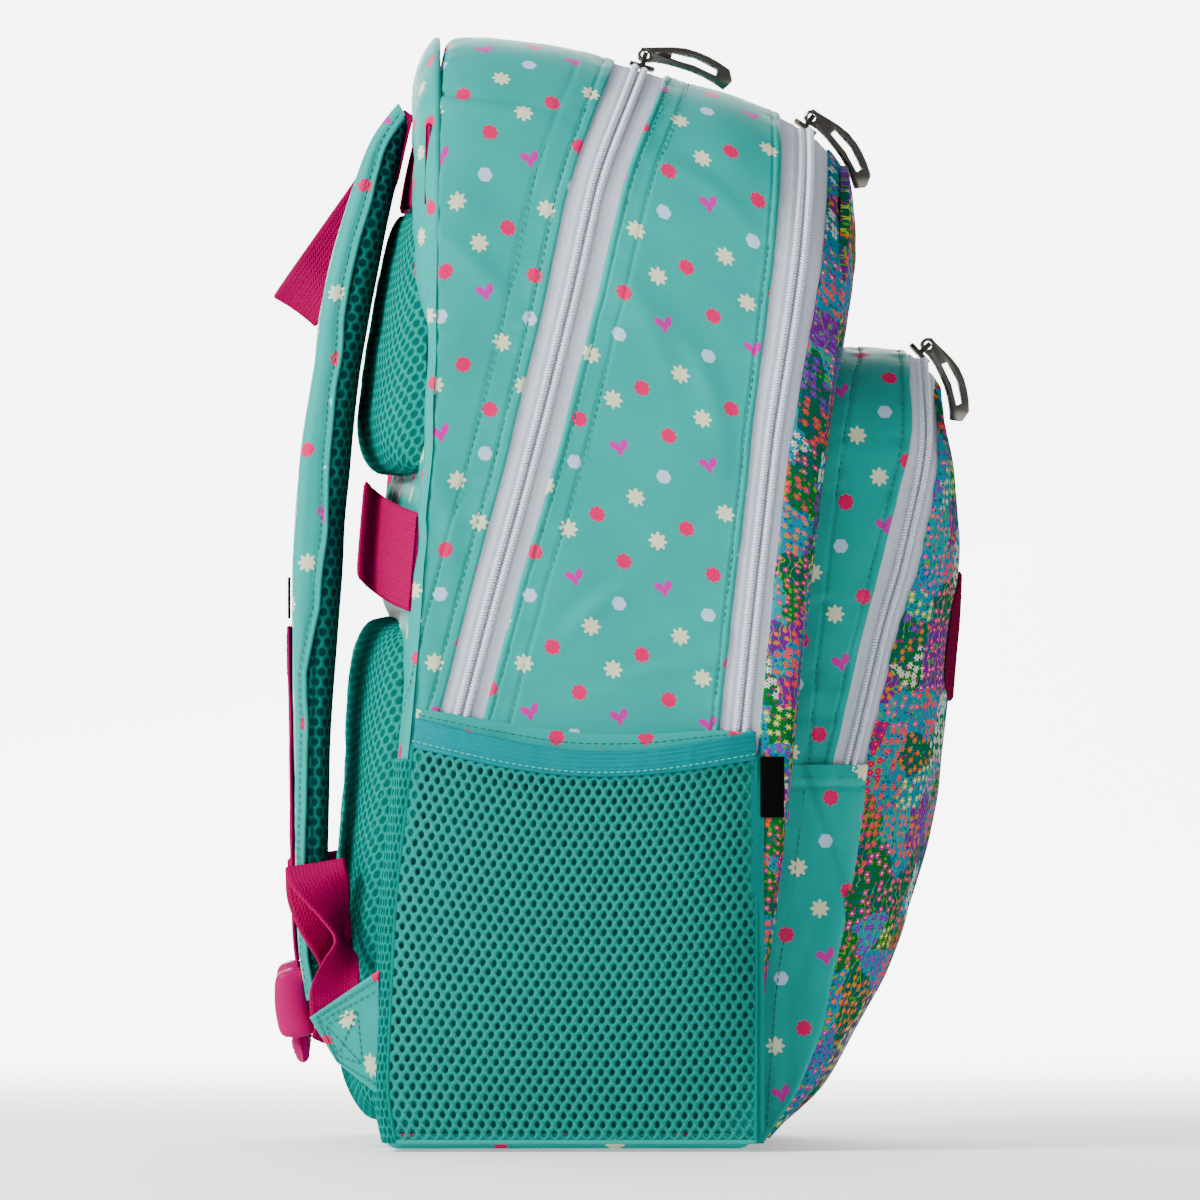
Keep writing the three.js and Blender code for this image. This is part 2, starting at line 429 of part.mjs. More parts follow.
for (const [tail, f] of [['left', (g) => g], ['right', mirrored]]) {
  add('strap_pad_' + tail, f(parts.pad), COLOUR.mesh);
  add('strap_face_' + tail, f(parts.face), COLOUR.mint);
  add('strap_webbing_' + tail, f(parts.web), COLOUR.magenta);
}
{ // ladder lock: a plate with two slots, hanging from the end of the strap webbing
  const s = new THREE.Shape();
  s.moveTo(-15, 1); s.lineTo(-12, 3); s.lineTo(12, 3); s.lineTo(15, 1); s.lineTo(16, -20); s.lineTo(11, -33); s.lineTo(-11, -33); s.lineTo(-16, -20); s.closePath();
  for (const [t, b] of [[-1, -5], [-10, -16]]) {
    const h = new THREE.Path(); h.moveTo(-12.8, t); h.lineTo(-12.8, b); h.lineTo(12.8, b); h.lineTo(12.8, t); h.closePath(); s.holes.push(h);
  }
  const g = new THREE.ExtrudeGeometry(s, { depth: 3.8, bevelEnabled: false });
  g.translate(0, 0, -1.9);
  for (const [side, tail] of [[-1, 'left'], [1, 'right']]) {
    const holder = new THREE.Group();
    holder.position.set(side * 90, 130.9, 66);
    holder.rotation.set(Math.PI / 2 - 0.13, 0, 0);
    root.add(holder);
    add('ladder_lock_' + tail, g.clone(), COLOUR.magenta, 0.35, 0, holder);
  }
}
{ // wing tabs, sewn into the side seams, and the adjuster webbing that they hold
  const s = new THREE.Shape();
  for (const [i, [y, z]] of [[123.6, 52.2], [98.4, 70.3], [98.4, 22.5], [113, 35]].entries()) { if (i) s.lineTo(y, z); else s.moveTo(y, z); }
  s.closePath();
  const g = new THREE.ExtrudeGeometry(s, { depth: 2.2, bevelEnabled: false });
  g.applyMatrix4(new THREE.Matrix4().makeBasis(new THREE.Vector3(0, 1, 0), new THREE.Vector3(0, 0, 1), new THREE.Vector3(1, 0, 0)));
  const left = g.clone().translate(-147.2, 0, 0), right = g.clone().translate(145, 0, 0);
  add('wing_tab_left', left, COLOUR.mint); add('wing_tab_right', right, COLOUR.mint);
  const st = [
    { c: [-146.1, 113.9, 60.6], w: [0, -0.81, 0.585], n: [1, 0, 0] },
    { c: [-144, 114.6, 70], w: [0.35, -0.8, 0.45], n: [1, 0.3, 0] },
    { c: [-139, 114, 83], w: [0.8, -0.55, 0.2], n: [0.5, 0.8, -0.2] },
    { c: [-132, 117.6, 96], w: [0.35, -0.93, 0.05], n: [0.9, 0.35, -0.2] },
    { c: [-128, 121, 107], w: [0, -1, 0.1], n: [1, 0, -0.2] },
    { c: [-125.6, 121.6, 111.2], w: [0, -1, 0.1], n: [0.6, 0, -0.8] },
    { c: [-122.6, 121.8, 112.2], w: [0, -1, 0.1], n: [-0.1, 0, -1] },
    { c: [-120.4, 121.7, 109.6], w: [0, -1, 0.1], n: [-0.9, 0, -0.4] },
    { c: [-120, 121.4, 98], w: [0, -1, 0.05], n: [-1, 0, 0] },
    { c: [-120, 120.4, 78], w: [0, -1, 0], n: [-1, 0, 0] },
    { c: [-119, 119.6, 62], w: [0.1, -1, 0.06], n: [-1, -0.1, -0.1] },
    { c: [-114, 118.2, 49.5], w: [0.55, -0.75, 0.3], n: [-0.7, -0.5, -0.4] },
    { c: [-104, 120.4, 42.4], w: [0.9, -0.2, -0.1], n: [-0.1, -0.6, -0.8] },
  ];
  const web = ribbon(st, 24, WEB_T);
  add('adjuster_webbing_left', web, COLOUR.magenta);
  add('adjuster_webbing_right', mirrored(web), COLOUR.magenta);
}

// ------------------------------------------------------------------ carry handle
{ // a loop of webbing on edge; its plane holds X and the direction it hangs in, and it narrows where it is sewn in
  const d = new THREE.Vector3(0, 0.577, -0.817).normalize(), w = new THREE.Vector3(0, 0.817, 0.577).normalize();
  const upperEdge = new THREE.Vector3(0, 82.6, 417.8);
  const widthAt = (l) => at([[8, 5], [18, 9], [30, 14], [45, 18], [60, HANDLE_W]], l);
  const limb = [8.5, 18, 30, 45, 62, HANDLE_L - 20];
  const path = limb.map((l) => [-at([[8, HANDLE_X], [45, HANDLE_X + 4]], l), l]);
  for (let i = 1; i < 6; i++) { const a = Math.PI * (1 - i / 6); path.push([Math.cos(a) * (HANDLE_X + 4), HANDLE_L - 20 + Math.sin(a) * 19]); }
  path.push(...limb.map((l) => [at([[8, HANDLE_X], [45, HANDLE_X + 4]], l), l]).reverse());
  const st = path.map(([x, l], i) => {
    const a = path[Math.max(0, i - 1)], b = path[Math.min(path.length - 1, i + 1)];
    const t = new THREE.Vector3(b[0] - a[0], 0, 0).addScaledVector(d, b[1] - a[1]).normalize();
    const n = new THREE.Vector3().crossVectors(t, w);
    const c = new THREE.Vector3(x, 0, 0).add(upperEdge).addScaledVector(d, l).addScaledVector(w, -widthAt(l) / 2);
    return { c: c.toArray(), w: w.toArray(), n: n.toArray(), k: widthAt(l) / HANDLE_W };
  });
  add('carry_handle', ribbon(st, HANDLE_W, WEB_T + 0.2), COLOUR.magenta);
}

// ------------------------------------------------------------------ zip sliders and pulls
// Local frame of a slider: x along the zip, y up the slope across it, z out of the wall.
const sliderGeometry = (() => {
  const base = new THREE.Shape();
  base.moveTo(-6.5, -4.2); base.lineTo(3, -5.2); base.lineTo(6.5, -3.4); base.lineTo(6.5, 3.4); base.lineTo(3, 5.2); base.lineTo(-6.5, 4.2); base.closePath();
  const b = new THREE.ExtrudeGeometry(base, { depth: 1.6, bevelEnabled: false });
  const arch = new THREE.Shape();
  arch.moveTo(-5.6, -0.8); arch.lineTo(5.6, -0.8); arch.lineTo(5.6, 2.6); arch.lineTo(3.8, 5.2); arch.lineTo(-3.8, 5.2); arch.lineTo(-5.6, 2.6); arch.closePath();
  const hole = new THREE.Path();
  hole.moveTo(-4, 0.4); hole.lineTo(-4, 2.6); hole.lineTo(-3, 3.4); hole.lineTo(3, 3.4); hole.lineTo(4, 2.6); hole.lineTo(4, 0.4); hole.closePath();
  arch.holes.push(hole);
  const a = new THREE.ExtrudeGeometry(arch, { depth: 2, bevelEnabled: false });
  a.translate(0, 0, -1); a.rotateX(Math.PI / 2); a.translate(0, 0, 1.4);
  return fromSolid(solid(b).add(solid(a)));
})();
// A pull: a curved bar in its own plane, with an eye round the slider's bridge. Local x away from the slider, y outwards.
const pullGeometry = (length, sag) => {
  const s = new THREE.Shape(), mid = (t) => [t * length, sag * 4 * t * (1 - t)];
  const half = (t) => (t < 0.12 ? 3 : 3 + 1.1 * Math.min(1, (t - 0.12) * 3));
  const up = [], low = [];
  for (let i = 0; i <= 7; i++) { const t = i / 7, [x, y] = mid(t); up.push([x, y + half(t)]); low.push([x, y - half(t)]); }
  s.moveTo(-3.2, 0); s.lineTo(-2.2, -2.4);
  for (const p of low) s.lineTo(p[0], p[1]);
  s.lineTo(length + 2.4, 0);
  for (const p of up.reverse()) s.lineTo(p[0], p[1]);
  s.lineTo(-2.2, 2.4); s.closePath();
  const eye = new THREE.Path();
  for (let i = 0; i < 8; i++) { const a = -i * Math.PI / 4, r = 1.85; if (i) eye.lineTo(Math.cos(a) * r, Math.sin(a) * r); else eye.moveTo(r, 0); }
  eye.closePath(); s.holes.push(eye);
  const slot = new THREE.Path(), q = (t, k) => { const [x, y] = mid(t); return [x, y + k]; };
  slot.moveTo(...q(0.3, -1.3)); slot.lineTo(...q(0.3, 1.3)); slot.lineTo(...q(0.58, 1.5)); slot.lineTo(...q(0.86, 1.3)); slot.lineTo(...q(0.86, -1.3)); slot.lineTo(...q(0.58, -1.5)); slot.closePath();
  s.holes.push(slot);
  const g = new THREE.ExtrudeGeometry(s, { depth: PULL_T, bevelEnabled: false });
  g.translate(0, 0, -PULL_T / 2);
  return g;
};
// [name, y on the wall, outward lift, wall slope (deg, + rises to the rear), pull length, pull droop (deg below level, forward), arch]
const SLIDERS = [
  ['rear_zip', -8, 2.2, 16.5, 34, 17, bodyArch],
  ['front_zip', zip2Mid(405), 2.2, 35, 33, 52, bodyArch],
  ['pocket_zip', -117.8, 2.2, 47, 31, 66, pocketArch],
];
for (const [name, y, lift, slope, length, droop, arch] of SLIDERS) {
  for (const [side, tail] of [[-1, 'left'], [1, 'right']]) {
    const a = slope * Math.PI / 180;
    const n = [-Math.sin(a), Math.cos(a)];
    const mount = new THREE.Group();
    mount.position.set(side * SLIDER_X, y + n[0] * lift, arch.top(y) + n[1] * lift);
    mount.rotation.set(a, 0, side > 0 ? 0 : 0);
    root.add(mount);
    const m = add(name + '_slider_' + tail, sliderGeometry.clone(), COLOUR.metal, 0.35, 1, mount);
    if (side < 0) m.geometry = mirrored(m.geometry);
    // bridge bar, 5.7 above the plate's underside
    const bar = [y + n[0] * (lift + 5.6), arch.top(y) + n[1] * (lift + 5.6)];
    const swing = new THREE.Group();
    swing.position.set(side * SLIDER_X, bar[0], bar[1]);
    root.add(swing);
    const g = pullGeometry(length, name === 'rear_zip' ? 3.2 : 3.6);
    // local x -> forward and down by the droop, local y -> outward, extrusion -> X
    const b = droop * Math.PI / 180;
    const ex = new THREE.Vector3(0, -Math.cos(b), -Math.sin(b)), ey = new THREE.Vector3(0, -Math.sin(b), Math.cos(b));
    g.applyMatrix4(new THREE.Matrix4().makeBasis(ex, ey, new THREE.Vector3().crossVectors(ex, ey)));
    add(name + '_pull_' + tail, g, COLOUR.metal, 0.3, 1, swing);
  }
}

// ------------------------------------------------------------------ sewn-in labels, plain
{
  const g = new THREE.BoxGeometry(1.1, 9.4, 24); g.translate(-151.2, -58.4, 143);
  add('side_label', g, COLOUR.black, 0.7);
  const h = new THREE.BoxGeometry(12, 1.1, 16.5); h.translate(-97, 132.1, 217.5);
  add('strap_label', h, COLOUR.black, 0.7);
}

// ------------------------------------------------------------------ origin: bottom centre of the box
root.updateMatrixWorld(true);
const box = new THREE.Box3().setFromObject(root, true);
const shift = [-(box.min.x + box.max.x) / 2, -(box.min.y + box.max.y) / 2, -box.min.z];
const backpack = new THREE.Group();
backpack.name = 'backpack';
root.position.set(...shift);
backpack.add(root);
export default backpack;
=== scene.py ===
import bpy, math, json
import numpy as np
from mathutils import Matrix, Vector

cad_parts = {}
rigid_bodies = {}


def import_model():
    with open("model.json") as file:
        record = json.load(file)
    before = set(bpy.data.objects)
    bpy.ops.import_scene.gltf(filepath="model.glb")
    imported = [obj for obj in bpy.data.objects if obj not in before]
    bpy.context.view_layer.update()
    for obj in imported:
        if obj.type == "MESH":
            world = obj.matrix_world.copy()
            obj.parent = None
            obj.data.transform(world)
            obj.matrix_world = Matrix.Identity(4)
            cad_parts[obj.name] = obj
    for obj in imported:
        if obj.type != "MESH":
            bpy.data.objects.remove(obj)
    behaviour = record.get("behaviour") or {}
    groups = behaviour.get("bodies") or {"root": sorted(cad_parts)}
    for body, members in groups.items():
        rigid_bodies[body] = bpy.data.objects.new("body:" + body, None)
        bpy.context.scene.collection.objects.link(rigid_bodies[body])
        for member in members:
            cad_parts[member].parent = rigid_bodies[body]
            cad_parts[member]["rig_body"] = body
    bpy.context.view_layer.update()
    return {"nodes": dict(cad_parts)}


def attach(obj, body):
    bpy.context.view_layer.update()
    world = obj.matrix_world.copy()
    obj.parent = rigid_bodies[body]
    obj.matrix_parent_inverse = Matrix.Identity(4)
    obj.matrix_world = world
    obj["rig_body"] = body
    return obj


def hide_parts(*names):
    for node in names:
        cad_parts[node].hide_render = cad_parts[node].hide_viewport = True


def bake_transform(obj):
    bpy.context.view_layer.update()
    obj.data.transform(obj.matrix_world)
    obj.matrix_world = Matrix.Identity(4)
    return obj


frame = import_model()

DY = 0.3912192937976755          # the row frame's y is the design's y plus this, in mm
RNG = np.random.default_rng(7)

# ----------------------------------------------------------------------------- camera first
def look_at(obj, target):
    obj.rotation_euler = (Vector(target) - obj.location).to_track_quat("-Z", "Y").to_euler()

cam_data = bpy.data.cameras.new("camera")
cam = bpy.data.objects.new("camera", cam_data)
bpy.context.collection.objects.link(cam)
D = 9.0
AZ = math.radians(-90.6)
TARGET = (0.0, 0.0083, 0.2165)
cam.location = (TARGET[0] + D * math.sin(AZ), TARGET[1] - D * math.cos(AZ), TARGET[2] + 0.012)
look_at(cam, TARGET)
cam_data.sensor_width = 36.0
cam_data.lens = 36.0 * (D - 0.15) / 0.4728
cam_data.dof.use_dof = False
cam_data.clip_end = 30
bpy.context.scene.camera = cam

# ----------------------------------------------------------------------------- small tools
def lin(c):
    return tuple(((v / 255.0) / 12.92 if v / 255.0 <= 0.04045 else ((v / 255.0 + 0.055) / 1.055) ** 2.4) for v in c) + (1.0,)

class Curve:
    """A table smoothed into a soft curve: [x, y] knots in, y(x) out."""
    def __init__(self, table, sigma=7.0, step=1.0):
        xs = np.array([t[0] for t in table], float); ys = np.array([t[1] for t in table], float)
        lo, hi = xs[0] - 5 * sigma, xs[-1] + 5 * sigma
        g = np.arange(lo, hi + step, step)
        v = np.interp(g, xs, ys)
        v = np.where(g < xs[0], ys[0] + (g - xs[0]) * (ys[1] - ys[0]) / (xs[1] - xs[0]), v)
        v = np.where(g > xs[-1], ys[-1] + (g - xs[-1]) * (ys[-1] - ys[-2]) / (xs[-1] - xs[-2]), v)
        k = np.arange(-3 * sigma, 3 * sigma + step, step); w = np.exp(-(k / sigma) ** 2 / 2); w /= w.sum()
        pad = len(k) // 2
        s = np.convolve(np.concatenate([np.full(pad, v[0]), v, np.full(pad, v[-1])]), w, "valid")
        keep = (g >= xs[0]) & (g <= xs[-1])
        self.x, self.y = g[keep], s[keep]
    def __call__(self, x):
        return np.interp(x, self.x, self.y)

def smooth01(t):
    t = np.clip(t, 0, 1); return t * t * (3 - 2 * t)

def vnoise(p, scale, seed=0):
    """Smooth value noise in 2-D, about -1..1. p is (..., 2) in mm."""
    q = np.asarray(p, float) / scale
    i = np.floor(q).astype(int); f = q - i; f = f * f * (3 - 2 * f)
    def h(a, b):
        n = (a * 374761393 + b * 668265263 + seed * 974634777) & 0xFFFFFFFF
        n = ((n ^ (n >> 13)) * 1274126177) & 0xFFFFFFFF
        return ((n ^ (n >> 16)) & 0xFFFF) / 32767.5 - 1.0
    a, b = i[..., 0].astype(np.int64), i[..., 1].astype(np.int64)
    v00, v10, v01, v11 = h(a, b), h(a + 1, b), h(a, b + 1), h(a + 1, b + 1)
    return (v00 * (1 - f[..., 0]) + v10 * f[..., 0]) * (1 - f[..., 1]) + (v01 * (1 - f[..., 0]) + v11 * f[..., 0]) * f[..., 1]

def build(name, verts, faces, uvs=None, mats=(), body="bag", replaces=(), smooth=True, flat_mat=None):
    """verts in design mm. faces is an (n, 4) or (n, 3) array or a list."""
    v = np.asarray(verts, float).reshape(-1, 3).copy()
    v[:, 1] += DY
    v *= 0.001
    me = bpy.data.meshes.new(name)
    me.from_pydata([], [], []) if False else None
    f = faces if isinstance(faces, list) else np.asarray(faces).tolist()
    me.from_pydata(v.tolist(), [], f)
    me.validate(verbose=False)
    if uvs is not None:
        uv = np.asarray(uvs, float).reshape(-1, 2)
        layer = me.uv_layers.new(name="UVMap")
        idx = np.empty(len(me.loops), np.int32); me.loops.foreach_get("vertex_index", idx)
        layer.data.foreach_set("uv", uv[idx].astype(np.float32).ravel())
    if smooth:
        me.polygons.foreach_set("use_smooth", np.ones(len(me.polygons), bool))
    for m in mats:
        me.materials.append(m)
    if flat_mat is not None:
        me.polygons.foreach_set("material_index", np.asarray(flat_mat, np.int32))
    me.update()
    ob = bpy.data.objects.new(name, me)
    bpy.context.collection.objects.link(ob)
    if body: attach(ob, body)
    if replaces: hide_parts(*replaces)
    return ob

def grid_faces(nu, nv, off=0, flip=False, wrap_v=False):
    i, j = np.meshgrid(np.arange(nu - 1), np.arange(nv - (0 if wrap_v else 1)), indexing="ij")
    i, j = i.ravel(), j.ravel(); j2 = (j + 1) % nv
    q = np.stack([i * nv + j, (i + 1) * nv + j, (i + 1) * nv + j2, i * nv + j2], 1) + off
    return q[:, ::-1] if flip else q

def join_parts(parts):
    """[(verts, faces, uvs)] -> one set."""
    V, F, U, off = [], [], [], 0
    for v, f, u in parts:
        v = np.asarray(v).reshape(-1, 3); V.append(v); U.append(np.asarray(u).reshape(-1, 2))
        F.extend((np.asarray(f) + off).tolist()); off += len(v)
    return np.concatenate(V), F, np.concatenate(U)

def outward(verts, faces, centre):
    """Flips quads so that most point away from the centre."""
    v = np.asarray(verts).reshape(-1, 3); f = np.asarray(faces)
    a, b, c = v[f[:, 0]], v[f[:, 1]], v[f[:, 2]]
    n = np.cross(b - a, c - a)
    return f[:, ::-1] if np.sum(n * (a - np.asarray(centre))) < 0 else f

# ----------------------------------------------------------------------------- materials
def material(name):
    m = bpy.data.materials.new(name); m.use_nodes = True
    nt = m.node_tree
    for n in list(nt.nodes): nt.nodes.remove(n)
    out = nt.nodes.new("ShaderNodeOutputMaterial"); b = nt.nodes.new("ShaderNodeBsdfPrincipled")
    nt.links.new(b.outputs[0], out.inputs[0])
    return m, nt, b

class NB:
    """A short way to write node maths."""
    def __init__(s, nt): s.nt = nt
    def put(s, sock, v):
        if isinstance(v, bpy.types.NodeSocket): s.nt.links.new(v, sock)
        elif isinstance(v, tuple): sock.default_value = v[:len(sock.default_value)] if len(v) >= len(sock.default_value) else v + (1.0,)
        elif v is not None: sock.default_value = v
    def m(s, op, a, b=None, c=None, clamp=False):
        n = s.nt.nodes.new("ShaderNodeMath"); n.operation = op; n.use_clamp = clamp
        for i, v in enumerate((a, b, c)):
            if v is not None: s.put(n.inputs[i], v)
        return n.outputs[0]
    def v(s, op, a, b=None, c=None, scale=None, out=0):
        n = s.nt.nodes.new("ShaderNodeVectorMath"); n.operation = op
        for i, x in enumerate((a, b, c)):
            if x is not None: s.put(n.inputs[i], x)
        if scale is not None: s.put(n.inputs["Scale"], scale)
        return n.outputs["Value"] if op in ("LENGTH", "DOT_PRODUCT", "DISTANCE") else n.outputs[0]
    def xy(s, v):
        n = s.nt.nodes.new("ShaderNodeSeparateXYZ"); s.put(n.inputs[0], v); return n.outputs[0], n.outputs[1]
    def vec(s, x, y, z=0.0):
        n = s.nt.nodes.new("ShaderNodeCombineXYZ")
        for i, q in enumerate((x, y, z)): s.put(n.inputs[i], q)
        return n.outputs[0]
    def uv(s):
        n = s.nt.nodes.new("ShaderNodeUVMap"); n.uv_map = "UVMap"; return n.outputs[0]
    def obj(s):
        return s.nt.nodes.new("ShaderNodeTexCoord").outputs["Object"]
    def noise(s, vec, scale, detail=2.0, rough=0.5, out="Fac"):
        n = s.nt.nodes.new("ShaderNodeTexNoise"); s.put(n.inputs["Vector"], vec)
        n.inputs["Scale"].default_value = scale; n.inputs["Detail"].default_value = detail; n.inputs["Roughness"].default_value = rough
        return n.outputs[out]
    def voro(s, vec, scale, feature="F1", rand=1.0, dims="2D"):
        n = s.nt.nodes.new("ShaderNodeTexVoronoi"); n.voronoi_dimensions = dims; n.feature = feature
        s.put(n.inputs["Vector"], vec); n.inputs["Scale"].default_value = scale; n.inputs["Randomness"].default_value = rand
        return n
    def mix(s, fac, a, b):
        n = s.nt.nodes.new("ShaderNodeMix"); n.data_type = "RGBA"
        s.put(n.inputs[0], fac); s.put(n.inputs[6], a); s.put(n.inputs[7], b)
        return n.outputs[2]
    def ramp(s, fac, stops, interp="LINEAR"):
        n = s.nt.nodes.new("ShaderNodeValToRGB"); n.color_ramp.interpolation = interp
        e = n.color_ramp.elements
        while len(e) > 1: e.remove(e[-1])
        e[0].position, e[0].color = stops[0]
        for p, c in stops[1:]:
            x = e.new(p); x.color = c
        s.put(n.inputs[0], fac)
        return n.outputs[0]
    def step(s, a, edge, soft):
        """1 where a < edge."""
        n = s.nt.nodes.new("ShaderNodeMapRange"); n.interpolation_type = "SMOOTHSTEP"
        s.put(n.inputs[0], a)
        s.put(n.inputs[1], s.m("ADD", edge, soft) if isinstance(edge, bpy.types.NodeSocket) else edge + soft)
        s.put(n.inputs[2], s.m("SUBTRACT", edge, soft) if isinstance(edge, bpy.types.NodeSocket) else edge - soft)
        n.inputs[3].default_value = 0.0; n.inputs[4].default_value = 1.0
        return n.outputs[0]
    def bump(s, height, strength, distance, normal=None):
        n = s.nt.nodes.new("ShaderNodeBump"); n.inputs["Strength"].default_value = strength; n.inputs["Distance"].default_value = distance
        s.put(n.inputs["Height"], height)
        if normal is not None: s.put(n.inputs["Normal"], normal)
        return n.outputs[0]

MINT = lin((16, 150, 142))

def satin(nb, b, colour, weave=1.0, rough=0.46, spec=0.08):
    """Fine twill threads in UV mm, a slow tone drift, and soft sheen."""
    uv = nb.uv()
    x, y = nb.xy(uv)
    d = nb.m("ADD", nb.m("MULTIPLY", x, 1.0), nb.m("MULTIPLY", y, 0.55))
    twill = nb.m("SINE", nb.m("MULTIPLY", d, 2 * math.pi / 0.62))
    cross = nb.m("SINE", nb.m("MULTIPLY", y, 2 * math.pi / 0.38))
    thread = nb.m("MULTIPLY", twill, nb.m("ADD", nb.m("MULTIPLY", cross, 0.4), 0.7))
    fine = nb.noise(uv, 2.1, 3.0, 0.6)
    h = nb.m("ADD", nb.m("MULTIPLY", thread, 0.5), nb.m("MULTIPLY", fine, 0.9))
    slow = nb.noise(uv, 0.03, 2.0, 0.5)
    tone = nb.m("ADD", nb.m("MULTIPLY", slow, 0.24), 0.88)
    tone = nb.m("ADD", tone, nb.m("MULTIPLY", thread, 0.018 * weave))
    col = nb.v("MULTIPLY", colour, nb.vec(tone, tone, tone))
    nb.put(b.inputs["Base Color"], col)
    b.inputs["Roughness"].default_value = rough
    b.inputs["Sheen Weight"].default_value = 0.0
    b.inputs["Specular IOR Level"].default_value = spec
    nb.put(b.inputs["Normal"], nb.bump(h, 0.22 * weave, 0.00012))
    return uv

def wrap(nb, uv, ox, oy):
    """Offset from the nearest motif centre of a skewed lattice, in mm."""
    A, BX, BY = 35.2, 17.6, 54.2
    x, y = nb.xy(nb.v("SUBTRACT", uv, (ox, oy, 0)))
    t = nb.m("DIVIDE", y, BY)
    s = nb.m("DIVIDE", nb.m("SUBTRACT", x, nb.m("MULTIPLY", t, BX)), A)
    ft = nb.m("SUBTRACT", nb.m("FRACT", nb.m("ADD", t, 0.5)), 0.5)
    fs = nb.m("SUBTRACT", nb.m("FRACT", nb.m("ADD", s, 0.5)), 0.5)
    lx = nb.m("ADD", nb.m("MULTIPLY", fs, A), nb.m("MULTIPLY", ft, BX))
    ly = nb.m("MULTIPLY", ft, BY)
    return lx, ly

def petals(nb, lx, ly, r0, amp, n, soft=0.16, phase=0.0):
    r = nb.m("SQRT", nb.m("ADD", nb.m("MULTIPLY", lx, lx), nb.m("MULTIPLY", ly, ly)))
    th = nb.m("ARCTAN2", ly, lx)
    edge = nb.m("ADD", nb.m("MULTIPLY", nb.m("COSINE", nb.m("ADD", nb.m("MULTIPLY", th, float(n)), phase)), amp), r0)
    return nb.step(r, edge, soft)

def ellipse(nb, lx, ly, cx, cy, rx, ry, ang, soft=0.07):
    ca, sa = math.cos(ang), math.sin(ang)
    dx, dy = nb.m("SUBTRACT", lx, cx), nb.m("SUBTRACT", ly, cy)
    u = nb.m("ADD", nb.m("MULTIPLY", dx, ca / rx), nb.m("MULTIPLY", dy, sa / rx))
    v = nb.m("ADD", nb.m("MULTIPLY", dx, -sa / ry), nb.m("MULTIPLY", dy, ca / ry))
    return nb.step(nb.m("SQRT", nb.m("ADD", nb.m("MULTIPLY", u, u), nb.m("MULTIPLY", v, v))), 1.0, soft)

def mint_print(name, ground=MINT, shift=(0, 0)):
    m, nt, b = material(name); nb = NB(nt)
    uv = nb.v("ADD", nb.uv(), (shift[0], shift[1], 0))
    wob = nb.noise(uv, 1.6, 1.0, 0.5, "Color")
    p = nb.v("ADD", uv, nb.v("MULTIPLY", nb.v("SUBTRACT", wob, (0.5, 0.5, 0.5)), (0.5, 0.5, 0)))
    col = ground
    red, cream, pale, pink = lin((204, 0, 88)), lin((206, 210, 176)), lin((166, 198, 218)), lin((176, 34, 148))
    for kind, ox, oy in (("red", 0, 0), ("red", 7, -36.9), ("cream", -4.3, -43.9), ("cream", 22.2, -27.6), ("fly", 15.7, -8.5), ("pale", -2.0, -17.2)):
        lx, ly = wrap(nb, p, ox, oy)
        if kind == "red": col = nb.mix(petals(nb, lx, ly, 3.0, 0.3, 8), col, red)
        if kind == "pale": col = nb.mix(petals(nb, lx, ly, 2.75, 0.14, 6), col, pale)
        if kind == "cream": col = nb.mix(petals(nb, lx, ly, 3.15, 0.66, 8), col, cream)
        if kind == "fly":
            a = ellipse(nb, lx, ly, -1.7, 0.1, 2.35, 1.5, math.radians(-28))
            c = ellipse(nb, lx, ly, 1.7, 1.2, 1.45, 2.3, math.radians(-12))
            d = ellipse(nb, lx, ly, 0.3, -1.7, 1.1, 1.75, math.radians(8))
            col = nb.mix(nb.m("MAXIMUM", nb.m("MAXIMUM", a, c), d), col, pink)
    satin(nb, b, col)
    return m

